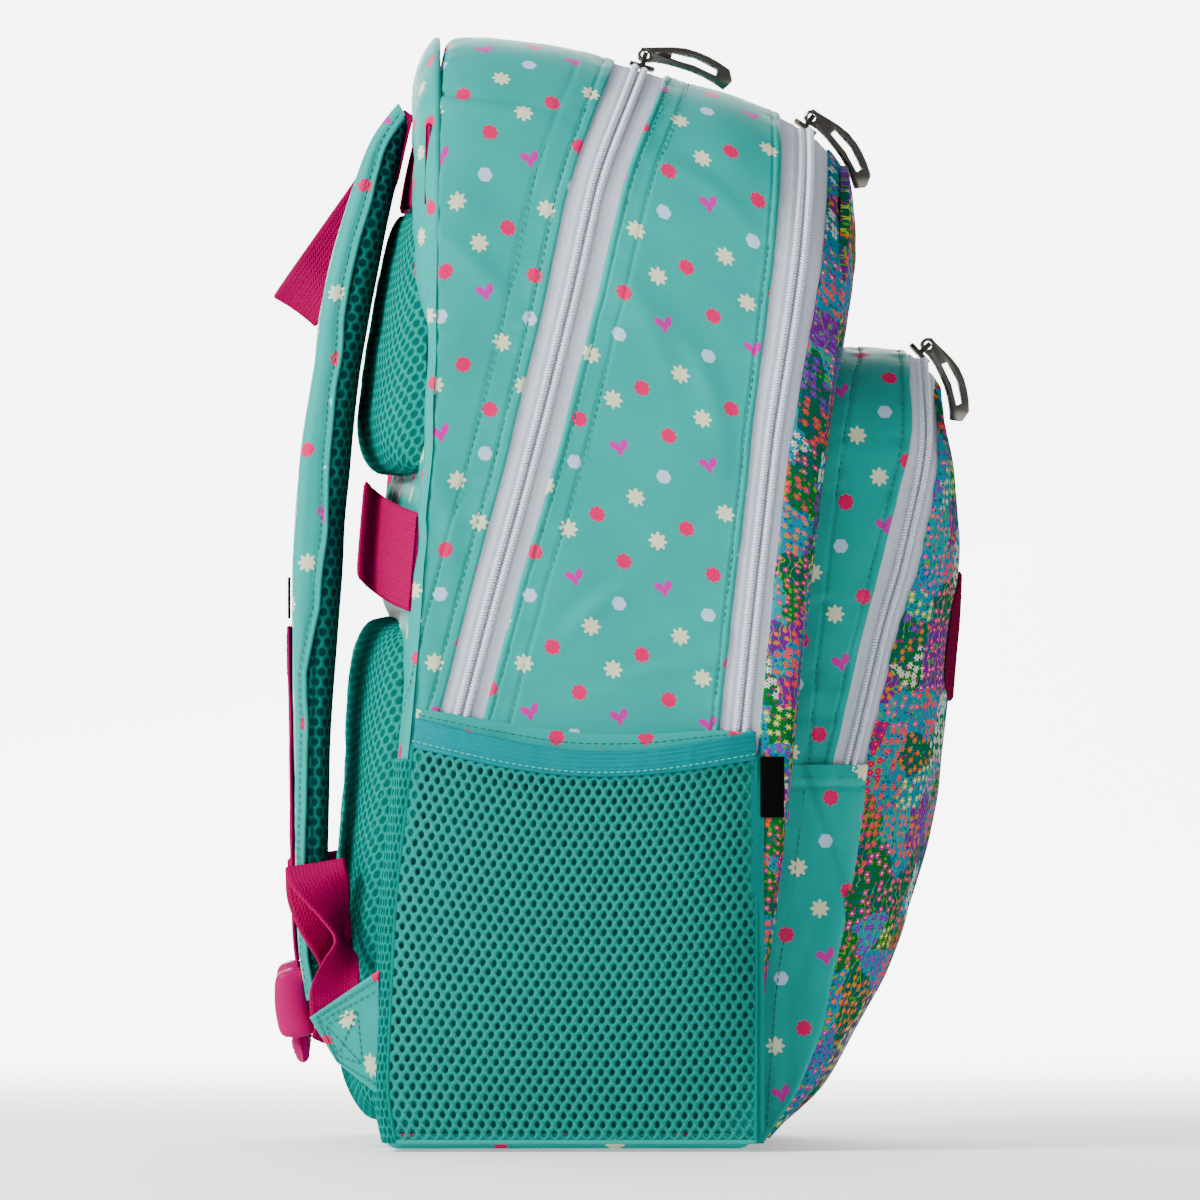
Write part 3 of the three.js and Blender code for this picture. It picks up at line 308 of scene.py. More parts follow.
def meadow(name):
    m, nt, b = material(name); nb = NB(nt)
    uv = nb.uv()
    wob = nb.noise(uv, 0.09, 2.0, 0.6, "Color")
    p = nb.v("ADD", uv, nb.v("MULTIPLY", nb.v("SUBTRACT", wob, (0.5, 0.5, 0.5)), (14, 14, 0)))
    big = nb.voro(p, 1 / 15.0)
    rnd, _ = nb.xy(big.outputs["Color"]); _, rnd2 = nb.xy(big.outputs["Color"])
    ground = nb.ramp(rnd, [(0.0, lin((0, 84, 62))), (0.16, lin((0, 118, 138))), (0.34, lin((14, 92, 40))), (0.5, lin((0, 110, 150))),
                           (0.64, lin((92, 24, 118))), (0.78, lin((0, 78, 66))), (0.9, lin((0, 128, 144)))], "CONSTANT")
    f1 = nb.ramp(rnd2, [(0.0, lin((206, 4, 84))), (0.18, lin((228, 84, 14))), (0.3, lin((186, 12, 120))), (0.48, lin((168, 182, 50))),
                        (0.6, lin((214, 20, 70))), (0.72, lin((110, 24, 150))), (0.84, lin((190, 194, 180))), (0.91, lin((178, 4, 70)))], "CONSTANT")
    f2 = nb.ramp(rnd2, [(0.0, lin((240, 120, 150))), (0.14, lin((120, 150, 30))), (0.3, lin((240, 190, 60))), (0.44, lin((230, 200, 225))),
                        (0.58, lin((120, 140, 10))), (0.72, lin((20, 110, 170))), (0.86, lin((236, 90, 60)))], "CONSTANT")
    # small plants between the flowers
    leaf = nb.voro(uv, 1 / 2.0)
    lc, _ = nb.xy(leaf.outputs["Color"])
    col = nb.mix(nb.m("MULTIPLY", nb.step(leaf.outputs["Distance"], 0.3, 0.08), nb.m("GREATER_THAN", lc, 0.35)), ground,
                 nb.ramp(lc, [(0.0, lin((0, 96, 60))), (0.5, lin((140, 10, 96))), (0.66, lin((70, 150, 30))), (0.82, lin((0, 70, 130)))], "CONSTANT"))
    # stems
    w = nb.m("SINE", nb.m("ADD", nb.m("MULTIPLY", nb.xy(p)[0], 1.9), nb.m("MULTIPLY", nb.noise(uv, 0.2, 1.0), 9.0)))
    col = nb.mix(nb.m("MULTIPLY", nb.m("GREATER_THAN", w, 0.94), nb.m("GREATER_THAN", rnd, 0.45)), col, lin((90, 150, 24)))
    # flowers
    fl = nb.voro(uv, 1 / 3.7, rand=0.62)
    px, py = nb.xy(nb.v("SUBTRACT", uv, nb.v("MULTIPLY", fl.outputs["Position"], (1, 1, 0))))
    size = nb.m("ADD", nb.m("MULTIPLY", rnd2, 0.65), 0.72)
    fc, fd = nb.xy(fl.outputs["Color"])
    keepf = nb.m("GREATER_THAN", fc, 0.16)
    star = nb.m("MULTIPLY", petals(nb, px, py, size, 0.42, 6, 0.12), keepf)
    rose = nb.m("MULTIPLY", petals(nb, px, py, nb.m("ADD", size, 0.1), 0.16, 5, 0.12), keepf)
    shape = nb.mix(nb.m("GREATER_THAN", rnd, 0.5), star, rose)
    col = nb.mix(shape, col, f1)
    col = nb.mix(nb.m("MULTIPLY", petals(nb, px, py, 0.38, 0.02, 4, 0.1), keepf), col, f2)
    satin(nb, b, col, rough=0.5, spec=0.0)
    return m

def plain_cloth(name, rgb, pitch=0.6, rough=0.7, bump=0.35, sheen=0.3, vary=0.12):
    """Plain weave in UV mm."""
    m, nt, b = material(name); nb = NB(nt); uv = nb.uv(); x, y = nb.xy(uv)
    sx = nb.m("SINE", nb.m("MULTIPLY", x, 2 * math.pi / pitch)); sy = nb.m("SINE", nb.m("MULTIPLY", y, 2 * math.pi / pitch))
    w = nb.m("MULTIPLY", sx, sy)
    slow = nb.noise(uv, 0.05, 2.0); fine = nb.noise(uv, 1.3, 3.0, 0.6)
    t = nb.m("ADD", nb.m("ADD", nb.m("MULTIPLY", slow, vary), 1 - vary / 2), nb.m("MULTIPLY", w, 0.05))
    nb.put(b.inputs["Base Color"], nb.v("MULTIPLY", lin(rgb), nb.vec(t, t, t)))
    b.inputs["Roughness"].default_value = rough; b.inputs["Sheen Weight"].default_value = 0.0
    b.inputs["Specular IOR Level"].default_value = 0.0
    nb.put(b.inputs["Normal"], nb.bump(nb.m("ADD", w, nb.m("MULTIPLY", fine, 0.6)), bump, 0.00018))
    return m

def webbing_mat(name, rgb, across_u=True, pitch=1.5, rough=0.5):
    """Woven webbing: a chevron of heavy threads. UV mm, v across the width."""
    m, nt, b = material(name); nb = NB(nt); uv = nb.uv(); x, y = nb.xy(uv)
    row = nb.m("ABSOLUTE", nb.m("SUBTRACT", nb.m("FRACT", nb.m("DIVIDE", y, pitch * 2)), 0.5))
    zig = nb.m("SINE", nb.m("MULTIPLY", nb.m("ADD", nb.m("DIVIDE", x, pitch), nb.m("MULTIPLY", row, 2.4)), 2 * math.pi))
    rib = nb.m("SINE", nb.m("MULTIPLY", y, 2 * math.pi / pitch))
    fine = nb.noise(uv, 2.0, 3.0, 0.6)
    h = nb.m("ADD", nb.m("ADD", nb.m("MULTIPLY", zig, 0.55), nb.m("MULTIPLY", rib, 0.35)), nb.m("MULTIPLY", fine, 0.5))
    t = nb.m("ADD", nb.m("MULTIPLY", h, 0.13), 0.93)
    nb.put(b.inputs["Base Color"], nb.v("MULTIPLY", lin(rgb), nb.vec(t, t, t)))
    b.inputs["Roughness"].default_value = rough; b.inputs["Sheen Weight"].default_value = 0.0
    b.inputs["Specular IOR Level"].default_value = 0.0
    nb.put(b.inputs["Normal"], nb.bump(h, 0.6, 0.00032))
    return m

def mesh_yarn(name, rgb, rough=0.36):
    m, nt, b = material(name); nb = NB(nt); uv = nb.uv(); x, y = nb.xy(uv)
    f = nb.m("SINE", nb.m("ADD", nb.m("MULTIPLY", x, 15.0), nb.m("MULTIPLY", nb.m("SINE", nb.m("MULTIPLY", y, 3.4)), 2.2)))
    fine = nb.noise(uv, 2.6, 2.0, 0.6); slow = nb.noise(uv, 0.05, 2.0)
    t = nb.m("ADD", nb.m("ADD", nb.m("MULTIPLY", slow, 0.2), 0.9), nb.m("MULTIPLY", f, 0.1))
    nb.put(b.inputs["Base Color"], nb.v("MULTIPLY", lin(rgb), nb.vec(t, t, t)))
    b.inputs["Roughness"].default_value = rough; b.inputs["Specular IOR Level"].default_value = 0.14
    b.inputs["Sheen Weight"].default_value = 0.0
    nb.put(b.inputs["Normal"], nb.bump(nb.m("ADD", f, fine), 0.55, 0.0002))
    return m

def plain(name, rgb, rough=0.4, metallic=0.0, coat=0.0, grain=0.0, grain_scale=900, vary=0.0, spec=0.5):
    m, nt, b = material(name); nb = NB(nt); o = nb.obj()
    n = nb.noise(o, grain_scale, 3.0, 0.6); slow = nb.noise(o, 30.0, 2.0)
    t = nb.m("ADD", nb.m("MULTIPLY", slow, vary), 1 - vary / 2)
    nb.put(b.inputs["Base Color"], nb.v("MULTIPLY", lin(rgb), nb.vec(t, t, t)))
    nb.put(b.inputs["Roughness"], nb.m("ADD", nb.m("MULTIPLY", nb.noise(o, 120.0, 3.0), 0.16), rough - 0.08))
    b.inputs["Metallic"].default_value = metallic
    if coat: b.inputs["Coat Weight"].default_value = coat; b.inputs["Coat Roughness"].default_value = 0.12
    b.inputs["Specular IOR Level"].default_value = spec
    if grain: nb.put(b.inputs["Normal"], nb.bump(n, grain, 0.00008))
    return m

M_MINT = mint_print("mint_satin_print")
M_MINT2 = mint_print("mint_satin_print_straight", shift=(11, 23))
# side wall behind the mesh pocket: plain mint darkened as painted shade inside the pocket
M_MINT_WALL_SHADED = plain_cloth("mint_wall_painted_shade", (0, 112, 106), pitch=0.7)
M_MINT_EDGE = plain_cloth("mint_binding", (30, 150, 140), pitch=0.7)
M_MEADOW = meadow("meadow_satin_print")
M_TAPE = plain_cloth("zip_tape_knit", (196, 204, 218), pitch=0.9, rough=0.62, bump=0.6, sheen=0.2, vary=0.06)
M_COIL = plain("zip_coil_nylon", (218, 226, 238), rough=0.34, spec=0.5)
M_COILTHREAD = plain("zip_coil_thread", (206, 214, 224), rough=0.6)
M_MESH = mesh_yarn("spacer_mesh_yarn", (0, 130, 120))
M_MESHCORE = plain_cloth("spacer_mesh_core", (0, 120, 110), pitch=1.0, rough=0.7, bump=0.5)
M_ELASTIC = webbing_mat("pocket_elastic_ribbed", (0, 132, 138), pitch=0.9, rough=0.45)
M_WEB = webbing_mat("magenta_webbing", (150, 0, 72))
M_LOCK = plain("magenta_plastic", (160, 0, 86), rough=0.34, vary=0.04, spec=0.05)
M_THREAD = plain("teal_thread", (0, 112, 100), rough=0.6, grain=0.3)
M_THREAD_L = plain("pale_thread", (60, 180, 166), rough=0.55, grain=0.3)
M_METAL = plain("dark_nickel", (132, 127, 120), rough=0.2, metallic=1.0, vary=0.25)
M_METAL_D = plain("gunmetal", (92, 86, 78), rough=0.28, metallic=1.0, vary=0.3)
M_BLACK = plain_cloth("black_label_satin", (9, 9, 10), pitch=0.4, rough=0.5, bump=0.3)
M_PATCH = webbing_mat("maroon_embroidery", (96, 12, 44), pitch=1.1, rough=0.42)
M_BOARD = plain("board", (60, 64, 66), rough=0.6)
M_LINING = plain_cloth("lining_taffeta", (70, 84, 92), pitch=0.5)

# ----------------------------------------------------------------------------- spacer mesh as a surface
def spacer(name, rgb, hole_core_and_shade_rgb, pitch=4.2, hole=0.34, depth=0.0011):
    """Knitted mesh with a staggered lattice of hexagonal holes; UV in mm. The holes are darker: the core seen through
    them, with painted shade inside them.
    """
    m, nt, b = material(name); nb = NB(nt); uv = nb.uv(); x, y = nb.xy(uv)
    px, py = pitch, pitch * 0.86
    def cell(ox, oy):
        fx = nb.m("SUBTRACT", nb.m("FRACT", nb.m("ADD", nb.m("DIVIDE", x, px), ox)), 0.5)
        fy = nb.m("SUBTRACT", nb.m("FRACT", nb.m("ADD", nb.m("DIVIDE", y, 2 * py), oy)), 0.5)
        dx, dy = nb.m("MULTIPLY", fx, px), nb.m("MULTIPLY", fy, 2 * py * 0.92)
        return nb.m("SQRT", nb.m("ADD", nb.m("MULTIPLY", dx, dx), nb.m("MULTIPLY", dy, dy)))
    d = nb.m("MINIMUM", cell(0.0, 0.0), cell(0.5, 0.5))
    n = nb.m("MULTIPLY", nb.m("SUBTRACT", nb.noise(uv, 0.7, 2.0), 0.5), 0.5)
    d = nb.m("ADD", d, n)
    r = pitch * hole
    holef = nb.step(d, r, pitch * 0.09)
    h = nb.m("SUBTRACT", 1.0, nb.step(d, r + pitch * 0.05, pitch * 0.2))
    yarn = nb.m("SINE", nb.m("ADD", nb.m("MULTIPLY", x, 14.0), nb.m("MULTIPLY", y, 6.0)))
    fine = nb.noise(uv, 2.2, 2.0, 0.6)
    slow = nb.noise(uv, 0.04, 2.0)
    t = nb.m("ADD", nb.m("ADD", nb.m("MULTIPLY", slow, 0.2), 0.9), nb.m("MULTIPLY", yarn, 0.08))
    # hole colour: the darker core plus painted shade inside the holes
    col = nb.mix(holef, nb.v("MULTIPLY", lin(rgb), nb.vec(t, t, t)), lin(hole_core_and_shade_rgb))
    nb.put(b.inputs["Base Color"], col)
    nb.put(b.inputs["Roughness"], nb.m("ADD", nb.m("MULTIPLY", holef, 0.4), 0.36))
    b.inputs["Specular IOR Level"].default_value = 0.0; b.inputs["Sheen Weight"].default_value = 0.0
    hh = nb.m("ADD", h, nb.m("ADD", nb.m("MULTIPLY", yarn, 0.07), nb.m("MULTIPLY", fine, 0.12)))
    nb.put(b.inputs["Normal"], nb.bump(hh, 0.85, depth))
    return m
M_SPACER = spacer("spacer_mesh_pad", (0, 142, 130), (0, 92, 84))
# a darker copy of the pad mesh for the straps: painted shade on their sides and under side
M_SPACER_STRAP_SHADED = spacer("spacer_mesh_strap_shaded", (0, 104, 96), (0, 52, 52), pitch=4.6)

# ----------------------------------------------------------------------------- the backpack's shape, design mm
HALF_WIDTH, FRONT_TAPER, CORNER_R, POCKET_R, BASE_Z, LOWER_Z = 150.0, 12.0, 60.0, 44.0, 2.4, 118.0
REAR_SEAM = Curve([[0, 90.8], [3, 91.6], [21, 95], [98, 91.4], [169, 83.5], [212, 80], [247, 77.2], [283, 74.1], [417, 72.1], [430, 69.5], [440, 66.8]], 8)
ZIP1_MID = Curve([[60, 93], [118, 77.6], [169, 64.6], [216, 52.4], [255, 41.4], [294, 31.1], [339, 20.1], [384.5, 10.2], [418, -3.2], [430, -8]], 8)
ZIP1_W = Curve([[60, 17], [118, 17], [169, 17.3], [418, 21.6], [440, 21.6]], 5)
ZIP2_REAR = Curve([[60, -28], [118, -33], [176, -38.6], [255, -47.7], [285, -50.8], [318, -55.2], [351, -59.1], [384.5, -62.3], [410, -62.6]], 8)
ZIP2_FRONT = Curve([[60, -44.5], [118, -49.3], [176, -54.4], [216, -58.2], [255, -62.6], [285, -66.4], [318, -72.8], [351, -78.5], [384.5, -81.1], [402, -81.5]], 8)
FRONT_EDGE = Curve([[2, -47.6], [28, -49], [64, -51.5], [100, -57], [150, -62.5], [213, -68.5], [255, -73], [285, -77], [318, -82], [350, -86], [375, -87], [392, -87.4]], 8)
POCKET_SEAM = Curve([[2, -50.6], [29, -52], [64.6, -54.6], [101, -60.8], [150.5, -66.8], [213.5, -72.6], [254, -77.6], [294, -83], [317, -88.4]], 8)
ZIP3_REAR = Curve([[140, -80], [150.5, -82.7], [172, -87.5], [197, -93.4], [208, -95.7], [233.6, -102.8], [254, -107.6], [270, -112.3], [286, -114.6], [318, -113.4]], 6)
ZIP3_FRONT = Curve([[140, -93.5], [150.5, -96.1], [172, -102], [197, -107.6], [208, -110.7], [230, -118.2], [246, -121.4], [258, -124], [278, -126.4], [308, -124]], 6)
LOWER_POCKET_EDGE = Curve([[4, -56], [7, -58], [21, -68.5], [33, -72.8], [46.5, -78.8], [64.6, -81.6], [82.7, -86.3], [101, -89.8], [129, -94.2], [146, -95.7], [152, -96.5]], 5)
POCKET_CROWN = Curve([[4, -58], [10.6, -68], [20, -79.6], [29, -85.5], [46.5, -95], [64.6, -105.6], [83, -113], [101, -118.2], [121, -123.7], [146, -128.8], [172, -131.6], [197, -133.6], [208, -134.8], [238, -135.9], [254, -135.1], [266, -134], [278, -131.8], [289, -129.4], [304, -125.4]], 5)
TOP = Curve([[-88, 388], [-81.5, 396.5], [-75, 402], [-62.5, 409.3], [-51.6, 413.3], [-40, 417.6], [-16, 425], [1.2, 430], [11.4, 433], [30, 436.6], [55, 440], [66.6, 440], [72, 438.6]], 3)
POCKET_TOP = Curve([[-128, 303], [-124, 306.5], [-116, 315.2], [-105, 316.5], [-88, 317]], 2)
MOUTH_TOP = Curve([[-52, 165], [-8, 157.6], [25, 157], [60, 163], [93, 171]], 10)
MOUTH_LOW = Curve([[-52, 154.4], [-19, 149.3], [14, 147], [47, 150], [93, 159.4]], 10)

def body_half(y): return np.where(y < -60, HALF_WIDTH - FRONT_TAPER * ((-60 - y) / 27) ** 2, HALF_WIDTH)
def pocket_half(y): return 125 - 10 * np.clip((-y - 60) / 66, 0, 1)
BODY = dict(half=body_half, top=TOP, r=CORNER_R, H=436.0)
POCKET = dict(half=pocket_half, top=POCKET_TOP, r=POCKET_R, H=316.0)

def arch(kind, s, yfun, foot, inset, W0=None):
    """Points on an arch. s 0..1 from the foot on -X over the top to the foot on +X; yfun(z) gives y; arrays broadcast.
    Returns xyz and the arc length from the middle of the top, for UVs."""
    s = np.asarray(s, float); R0, Href = kind["r"], kind["H"]
    W0 = 150.0 if kind is BODY else 120.0
    side, corner, top = Href - R0 - foot, math.pi / 2 * R0, 2 * (W0 - R0)
    total = 2 * side + 2 * corner + top
    a = np.abs(s - 0.5) * total                      # distance from the middle of the top
    sg = np.where(s < 0.5, -1.0, 1.0)
    y = np.broadcast_to(yfun(np.full(1, 250.0)), np.broadcast(s, inset).shape).astype(float).copy()
    for _ in range(14):
        W, H = kind["half"](y) - inset, kind["top"](y) - inset
        R = np.maximum(6.0, R0 - inset)
        on_top, on_corner = a <= top / 2, (a > top / 2) & (a <= top / 2 + corner)
        th = np.clip((a - top / 2) / corner, 0, 1) * math.pi / 2
        k = np.clip((a - top / 2 - corner) / side, 0, 1)
        x = np.where(on_top, a / (top / 2) * (W - R), np.where(on_corner, W - R + R * np.sin(th), W))
        z = np.where(on_top, H, np.where(on_corner, H - R + R * np.cos(th), foot + (H - R - foot) * (1 - k)))
        y = yfun(z)
    return np.stack([sg * x, y, z], -1), sg * a, total

def zip1_rear(z): return ZIP1_MID(z) + ZIP1_W(z) / 2
def zip1_front(z): return ZIP1_MID(z) - ZIP1_W(z) / 2
def zip2_mid(z): return (ZIP2_REAR(z) + ZIP2_FRONT(z)) / 2 - 0.5
def zip3_mid(z): return (ZIP3_REAR(z) + ZIP3_FRONT(z)) / 2
def pocket_seam(z): return POCKET_SEAM(z) - 2.6

def gusset(name, kind, yA, yB, foot, body="bag", mats=(M_MINT,), replaces=(), n=760, m=56, lipA=True, lipB=True,
           rowsA=(4.7,), rowsB=(3.1,), billow=1.5, seed=1, pinch=1.25, wrapA=0.0, wrapB=0.0, crease=False, folds=()):
    """A strip of satin between two seams: folded lips, sunk stitch rows, puckers and a soft billow."""
    s = np.linspace(0, 1, n)[:, None]
    t = np.linspace(0, 1, m)
    t = (t - 0.12 * np.sin(2 * math.pi * t) / 1.0)[None, :]          # closer rows of points near both edges
    _, arc, total = arch(kind, s[:, 0], lambda z: yA(z), foot, 0.0)
    zz = arch(kind, s[:, 0], lambda z: (yA(z) + yB(z)) / 2, foot, 0.0)[0][:, 2]
    w = np.abs(yA(zz) - yB(zz))[:, None]
    dA, dB = t * w, (1 - t) * w
    P = np.stack([np.broadcast_to(arc[:, None], (n, m)), np.broadcast_to(t * 60, (n, m))], -1)
    ins = 0.15 - min(billow, 1.0) * 0.55 * np.sin(math.pi * t) * (1 + 0 * w)
    ins = ins - billow * 0.8 * vnoise(P, np.array([70.0, 45.0]), seed) * np.sin(math.pi * t) ** 0.7
    ins = ins - billow * 0.36 * vnoise(P + 9.0 * vnoise(P, 40.0, seed + 7)[..., None], np.array([19.0, 30.0]), seed + 3) * np.sin(math.pi * t) ** 0.5
    for d, lip, rows, wrap_r in ((dA, lipA, rowsA, wrapA), (dB, lipB, rowsB, wrapB)):
        if wrap_r:
            k = np.clip(1 - d / wrap_r, 0, 1)
            ins = ins + wrap_r * (1 - np.sqrt(np.clip(1 - k * k, 0, 1)))
        elif lip:
            k = np.clip(1 - d / 1.3, 0, 1)
            ins = ins + 1.75 * (1 - np.sqrt(np.clip(1 - k * k, 0, 1)))
            ins = ins - 0.4 * np.exp(-(d / 4.2) ** 4)
        for r in rows:
            ins = ins + 0.5 * np.exp(-((d - r) / 0.75) ** 2)
        pk = vnoise(np.stack([P[..., 0], P[..., 0] * 0], -1), 4.4, seed + 11)
        ins = ins + 0.30 * pinch * pk * np.exp(-((d - (rows[0] if rows else 2)) / 4.0) ** 2)
    V, A, _ = arch(kind, np.broadcast_to(s, (n, m)), lambda z: yA(z) + (yB(z) - yA(z)) * t, foot, ins)
    if crease:
        q = V[..., 2] - (413 + 0.13 * (V[..., 1] - 40))
        ins = ins + (1.5 * np.exp(-(q / 1.5) ** 2) - 0.7 * np.exp(-((q + 4) / 3.0) ** 2)) * np.clip((V[..., 1] - 22) / 16, 0, 1)
        V, A, _ = arch(kind, np.broadcast_to(s, (n, m)), lambda z: yA(z) + (yB(z) - yA(z)) * t, foot, ins)
    if folds:
        for yc, zc, deg, amp, wid, ln in folds:
            cg, sg = math.cos(math.radians(deg)), math.sin(math.radians(deg))
            dy, dz = V[..., 1] - yc, V[..., 2] - zc
            a, b = dy * cg + dz * sg, dz * cg - dy * sg + 0.02 * (dy * cg + dz * sg) ** 2 / 3.0
            ins = ins - amp * (np.exp(-(b / wid) ** 2) - 0.6 * np.exp(-((b - 1.9 * wid) / (1.3 * wid)) ** 2)) * np.exp(-(a / ln) ** 2) * np.sin(math.pi * t) ** 0.4
        V, A, _ = arch(kind, np.broadcast_to(s, (n, m)), lambda z: yA(z) + (yB(z) - yA(z)) * t, foot, ins)
    # a shallow wobble of the lip along its length, so that edges are not ruled lines
    V[..., 1] += 0.25 * vnoise(P, np.array([11.0, 400.0]), seed + 21)
    U = np.stack([-V[..., 1], A], -1)
    F = outward(V, grid_faces(n, m), (0, 0, 200))
    ob = build(name, V, F, U, mats, body, replaces)
    return ob

def path_on(kind, yfun, foot, inset, step):
    s = np.linspace(0, 1, 4000)
    P, _, _ = arch(kind, s, yfun, foot, inset)
    Q, _, _ = arch(kind, s, yfun, foot, inset - 1.0)
    L = np.concatenate([[0], np.cumsum(np.linalg.norm(np.diff(P, axis=0), axis=1))])
    at = np.arange(step / 2, L[-1], step)
    P2 = np.stack([np.interp(at, L, P[:, k]) for k in range(3)], 1)
    N = np.stack([np.interp(at, L, (Q - P)[:, k]) for k in range(3)], 1)
    T = np.gradient(P2, axis=0)
    return P2, N / np.linalg.norm(N, axis=1, keepdims=True), T / np.linalg.norm(T, axis=1, keepdims=True)

def beads(C, X, Y, Z, rx, ry, rz, nu=8, nv=5, mean=0.0):
    """Ellipsoids at centres C with axes X, Y, Z and radii. Returns verts, faces, uvs."""
    u = np.arange(nu) / nu * 2 * math.pi; v = np.linspace(0, math.pi, nv + 2)[1:-1]
    pts = [(0, 0, 1.0)] + [(math.sin(b) * math.cos(a), math.sin(b) * math.sin(a), math.cos(b)) for b in v for a in u] + [(0, 0, -1.0)]
    pts = np.array(pts)
    f = []
    for i in range(nu): f.append((0, 1 + i, 1 + (i + 1) % nu))
    for r in range(nv - 1):
        for i in range(nu):
            a, b = 1 + r * nu + i, 1 + r * nu + (i + 1) % nu
            f.append((a, a + nu, b + nu)); f.append((a, b + nu, b))
    last = 1 + nv * nu
    for i in range(nu): f.append((last, 1 + (nv - 1) * nu + (i + 1) % nu, 1 + (nv - 1) * nu + i))
    f = np.array(f)
    rx, ry, rz = [np.broadcast_to(np.asarray(r, float), (len(C),))[:, None, None] for r in (rx, ry, rz)]
    V = C[:, None, :] + X[:, None, :] * pts[None, :, 0:1] * rx + Y[:, None, :] * pts[None, :, 1:2] * ry + Z[:, None, :] * pts[None, :, 2:3] * rz
    F = (f[None] + (np.arange(len(C)) * len(pts))[:, None, None]).reshape(-1, 3)
    V = V.reshape(-1, 3)
    U = np.stack([V[:, 1], V[:, 2]], 1)
    return V, F, U

def stitch_parts(P, N, T, length=2.3, r=0.24, lift=0.02):
    S = np.cross(N, T)
    return beads(P + N * lift, S, N, T, r * 1.15, r, length / 2, nu=6, nv=4)

def stitches_on(name, kind, rows, foot, inset, mat=M_THREAD, pitch=3.1, body="bag"):
    parts = []
    for yf in rows:
        P, N, T = path_on(kind, yf, foot, inset, pitch)
        parts.append(stitch_parts(P, N, T))
    V, F, U = join_parts(parts)
    return build(name, V, F, U, (mat,), body, ())

def polyline_stitches(pts, normals, pitch=3.0, length=2.2, r=0.24, lift=0.05):
    pts = np.asarray(pts, float); normals = np.asarray(normals, float)
    L = np.concatenate([[0], np.cumsum(np.linalg.norm(np.diff(pts, axis=0), axis=1))])
    at = np.arange(pitch / 2, max(L[-1], pitch), pitch); at = at[at < L[-1]]
    P = np.stack([np.interp(at, L, pts[:, k]) for k in range(3)], 1)
    N = np.stack([np.interp(at, L, normals[:, k]) for k in range(3)], 1)
    N /= np.linalg.norm(N, axis=1, keepdims=True)
    q0 = np.stack([np.interp(np.clip(at - 1, 0, L[-1]), L, pts[:, k]) for k in range(3)], 1)
    q1 = np.stack([np.interp(np.clip(at + 1, 0, L[-1]), L, pts[:, k]) for k in range(3)], 1)
    T = q1 - q0; T /= np.linalg.norm(T, axis=1, keepdims=True)
    return stitch_parts(P, N, T, length, r, lift)

def zipper(tag, kind, mid, rear, front, foot, coil_w):
    """Knitted tape with a rib each side of the coil, and a closed coil of separate turns."""
    n, m = 760, 26
    s = np.linspace(0, 1, n)[:, None]; t = np.linspace(0, 1, m)[None, :]
    yA, yB = (lambda z: rear(z) + 0.7), (lambda z: front(z) - 0.7)
    zz = arch(kind, s[:, 0], mid, foot, 0.0)[0][:, 2]
    w = (rear(zz) - front(zz) + 1.4)[:, None]; off = (yA(zz)[:, None] - t * w) - mid(zz)[:, None]
    ins = 1.25 - 0.45 * np.exp(-(np.abs(np.abs(off) - coil_w / 2 - 1.7) / 0.8) ** 2) + 0.25 * np.exp(-(off / 2.0) ** 2)
    arc = arch(kind, s[:, 0], mid, foot, 0.0)[1][:, None]
    P = np.stack([np.broadcast_to(arc, (n, m)), np.broadcast_to(t * 10, (n, m))], -1)
    ins = ins + 0.14 * vnoise(P, np.array([14.0, 5.0]), 5)
    V, A, _ = arch(kind, np.broadcast_to(s, (n, m)), lambda z: yA(z) + (yB(z) - yA(z)) * t, foot - 1.5, ins)
    U = np.stack([-V[..., 1], A], -1)
    build(tag + "_zip_tape_cloth", V, outward(V, grid_faces(n, m), (0, 0, 200)), U, (M_TAPE,), "bag", (tag + "_zip_tape",))
    P, N, T = path_on(kind, mid, foot, 0.35, 1.22)
    S = np.cross(N, T)
    parts = []
    for side in (-1, 1):
        Tl = T * math.cos(0.42) + S * math.sin(0.42) * side; Sl = np.cross(N, Tl)
        C = P + S * side * coil_w * 0.285 + N * 0.1 + T * (0.28 * side)
        parts.append(beads(C, Sl, N, Tl, coil_w * 0.27, 1.25, 0.62, nu=8, nv=4))
    V, F, U = join_parts(parts)
    build(tag + "_zip_coil_turns", V, F, U, (M_COIL,), "bag", (tag + "_zip_coil",))
    parts = [stitch_parts(P[::2] + S[::2] * sd * coil_w * 0.29 + N[::2] * 1.28, N[::2], T[::2], 1.9, 0.16) for sd in (-1, 1)]
    V, F, U = join_parts(parts)
    build(tag + "_zip_coil_sewing", V, F, U, (M_COILTHREAD,), "bag", ())

# ----------------------------------------------------------------------------- body walls
gusset("rear_gusset_cloth", BODY, lambda z: REAR_SEAM(z) + 2.4, zip1_rear, 96.0, replaces=("rear_gusset",), rowsA=(), rowsB=(4.7, 15.0), seed=1, m=72, wrapA=3.6, crease=True,
       folds=((92, 176, 66, 0.9, 4.0, 22), (70, 250, 74, 0.7, 4.6, 36), (62, 352, 40, 0.8, 4.4, 26)))
gusset("middle_gusset_cloth", BODY, zip1_front, ZIP2_REAR, 96.0, replaces=("middle_gusset",), rowsA=(3.1, 11.0), rowsB=(3.0,), seed=2, m=110, billow=1.9,
       folds=((-32, 206, 4, 1.3, 3.2, 17), (-18, 190, -6, 1.2, 3.0, 20), (-2, 179, 14, 1.0, 2.8, 16), (12, 213, -38, 1.0, 3.4, 15), (-30, 382, 32, 1.0, 4.0, 24), (-34, 300, 70, 0.8, 4.5, 34), (-8, 330, 58, 0.7, 5.0, 30)))
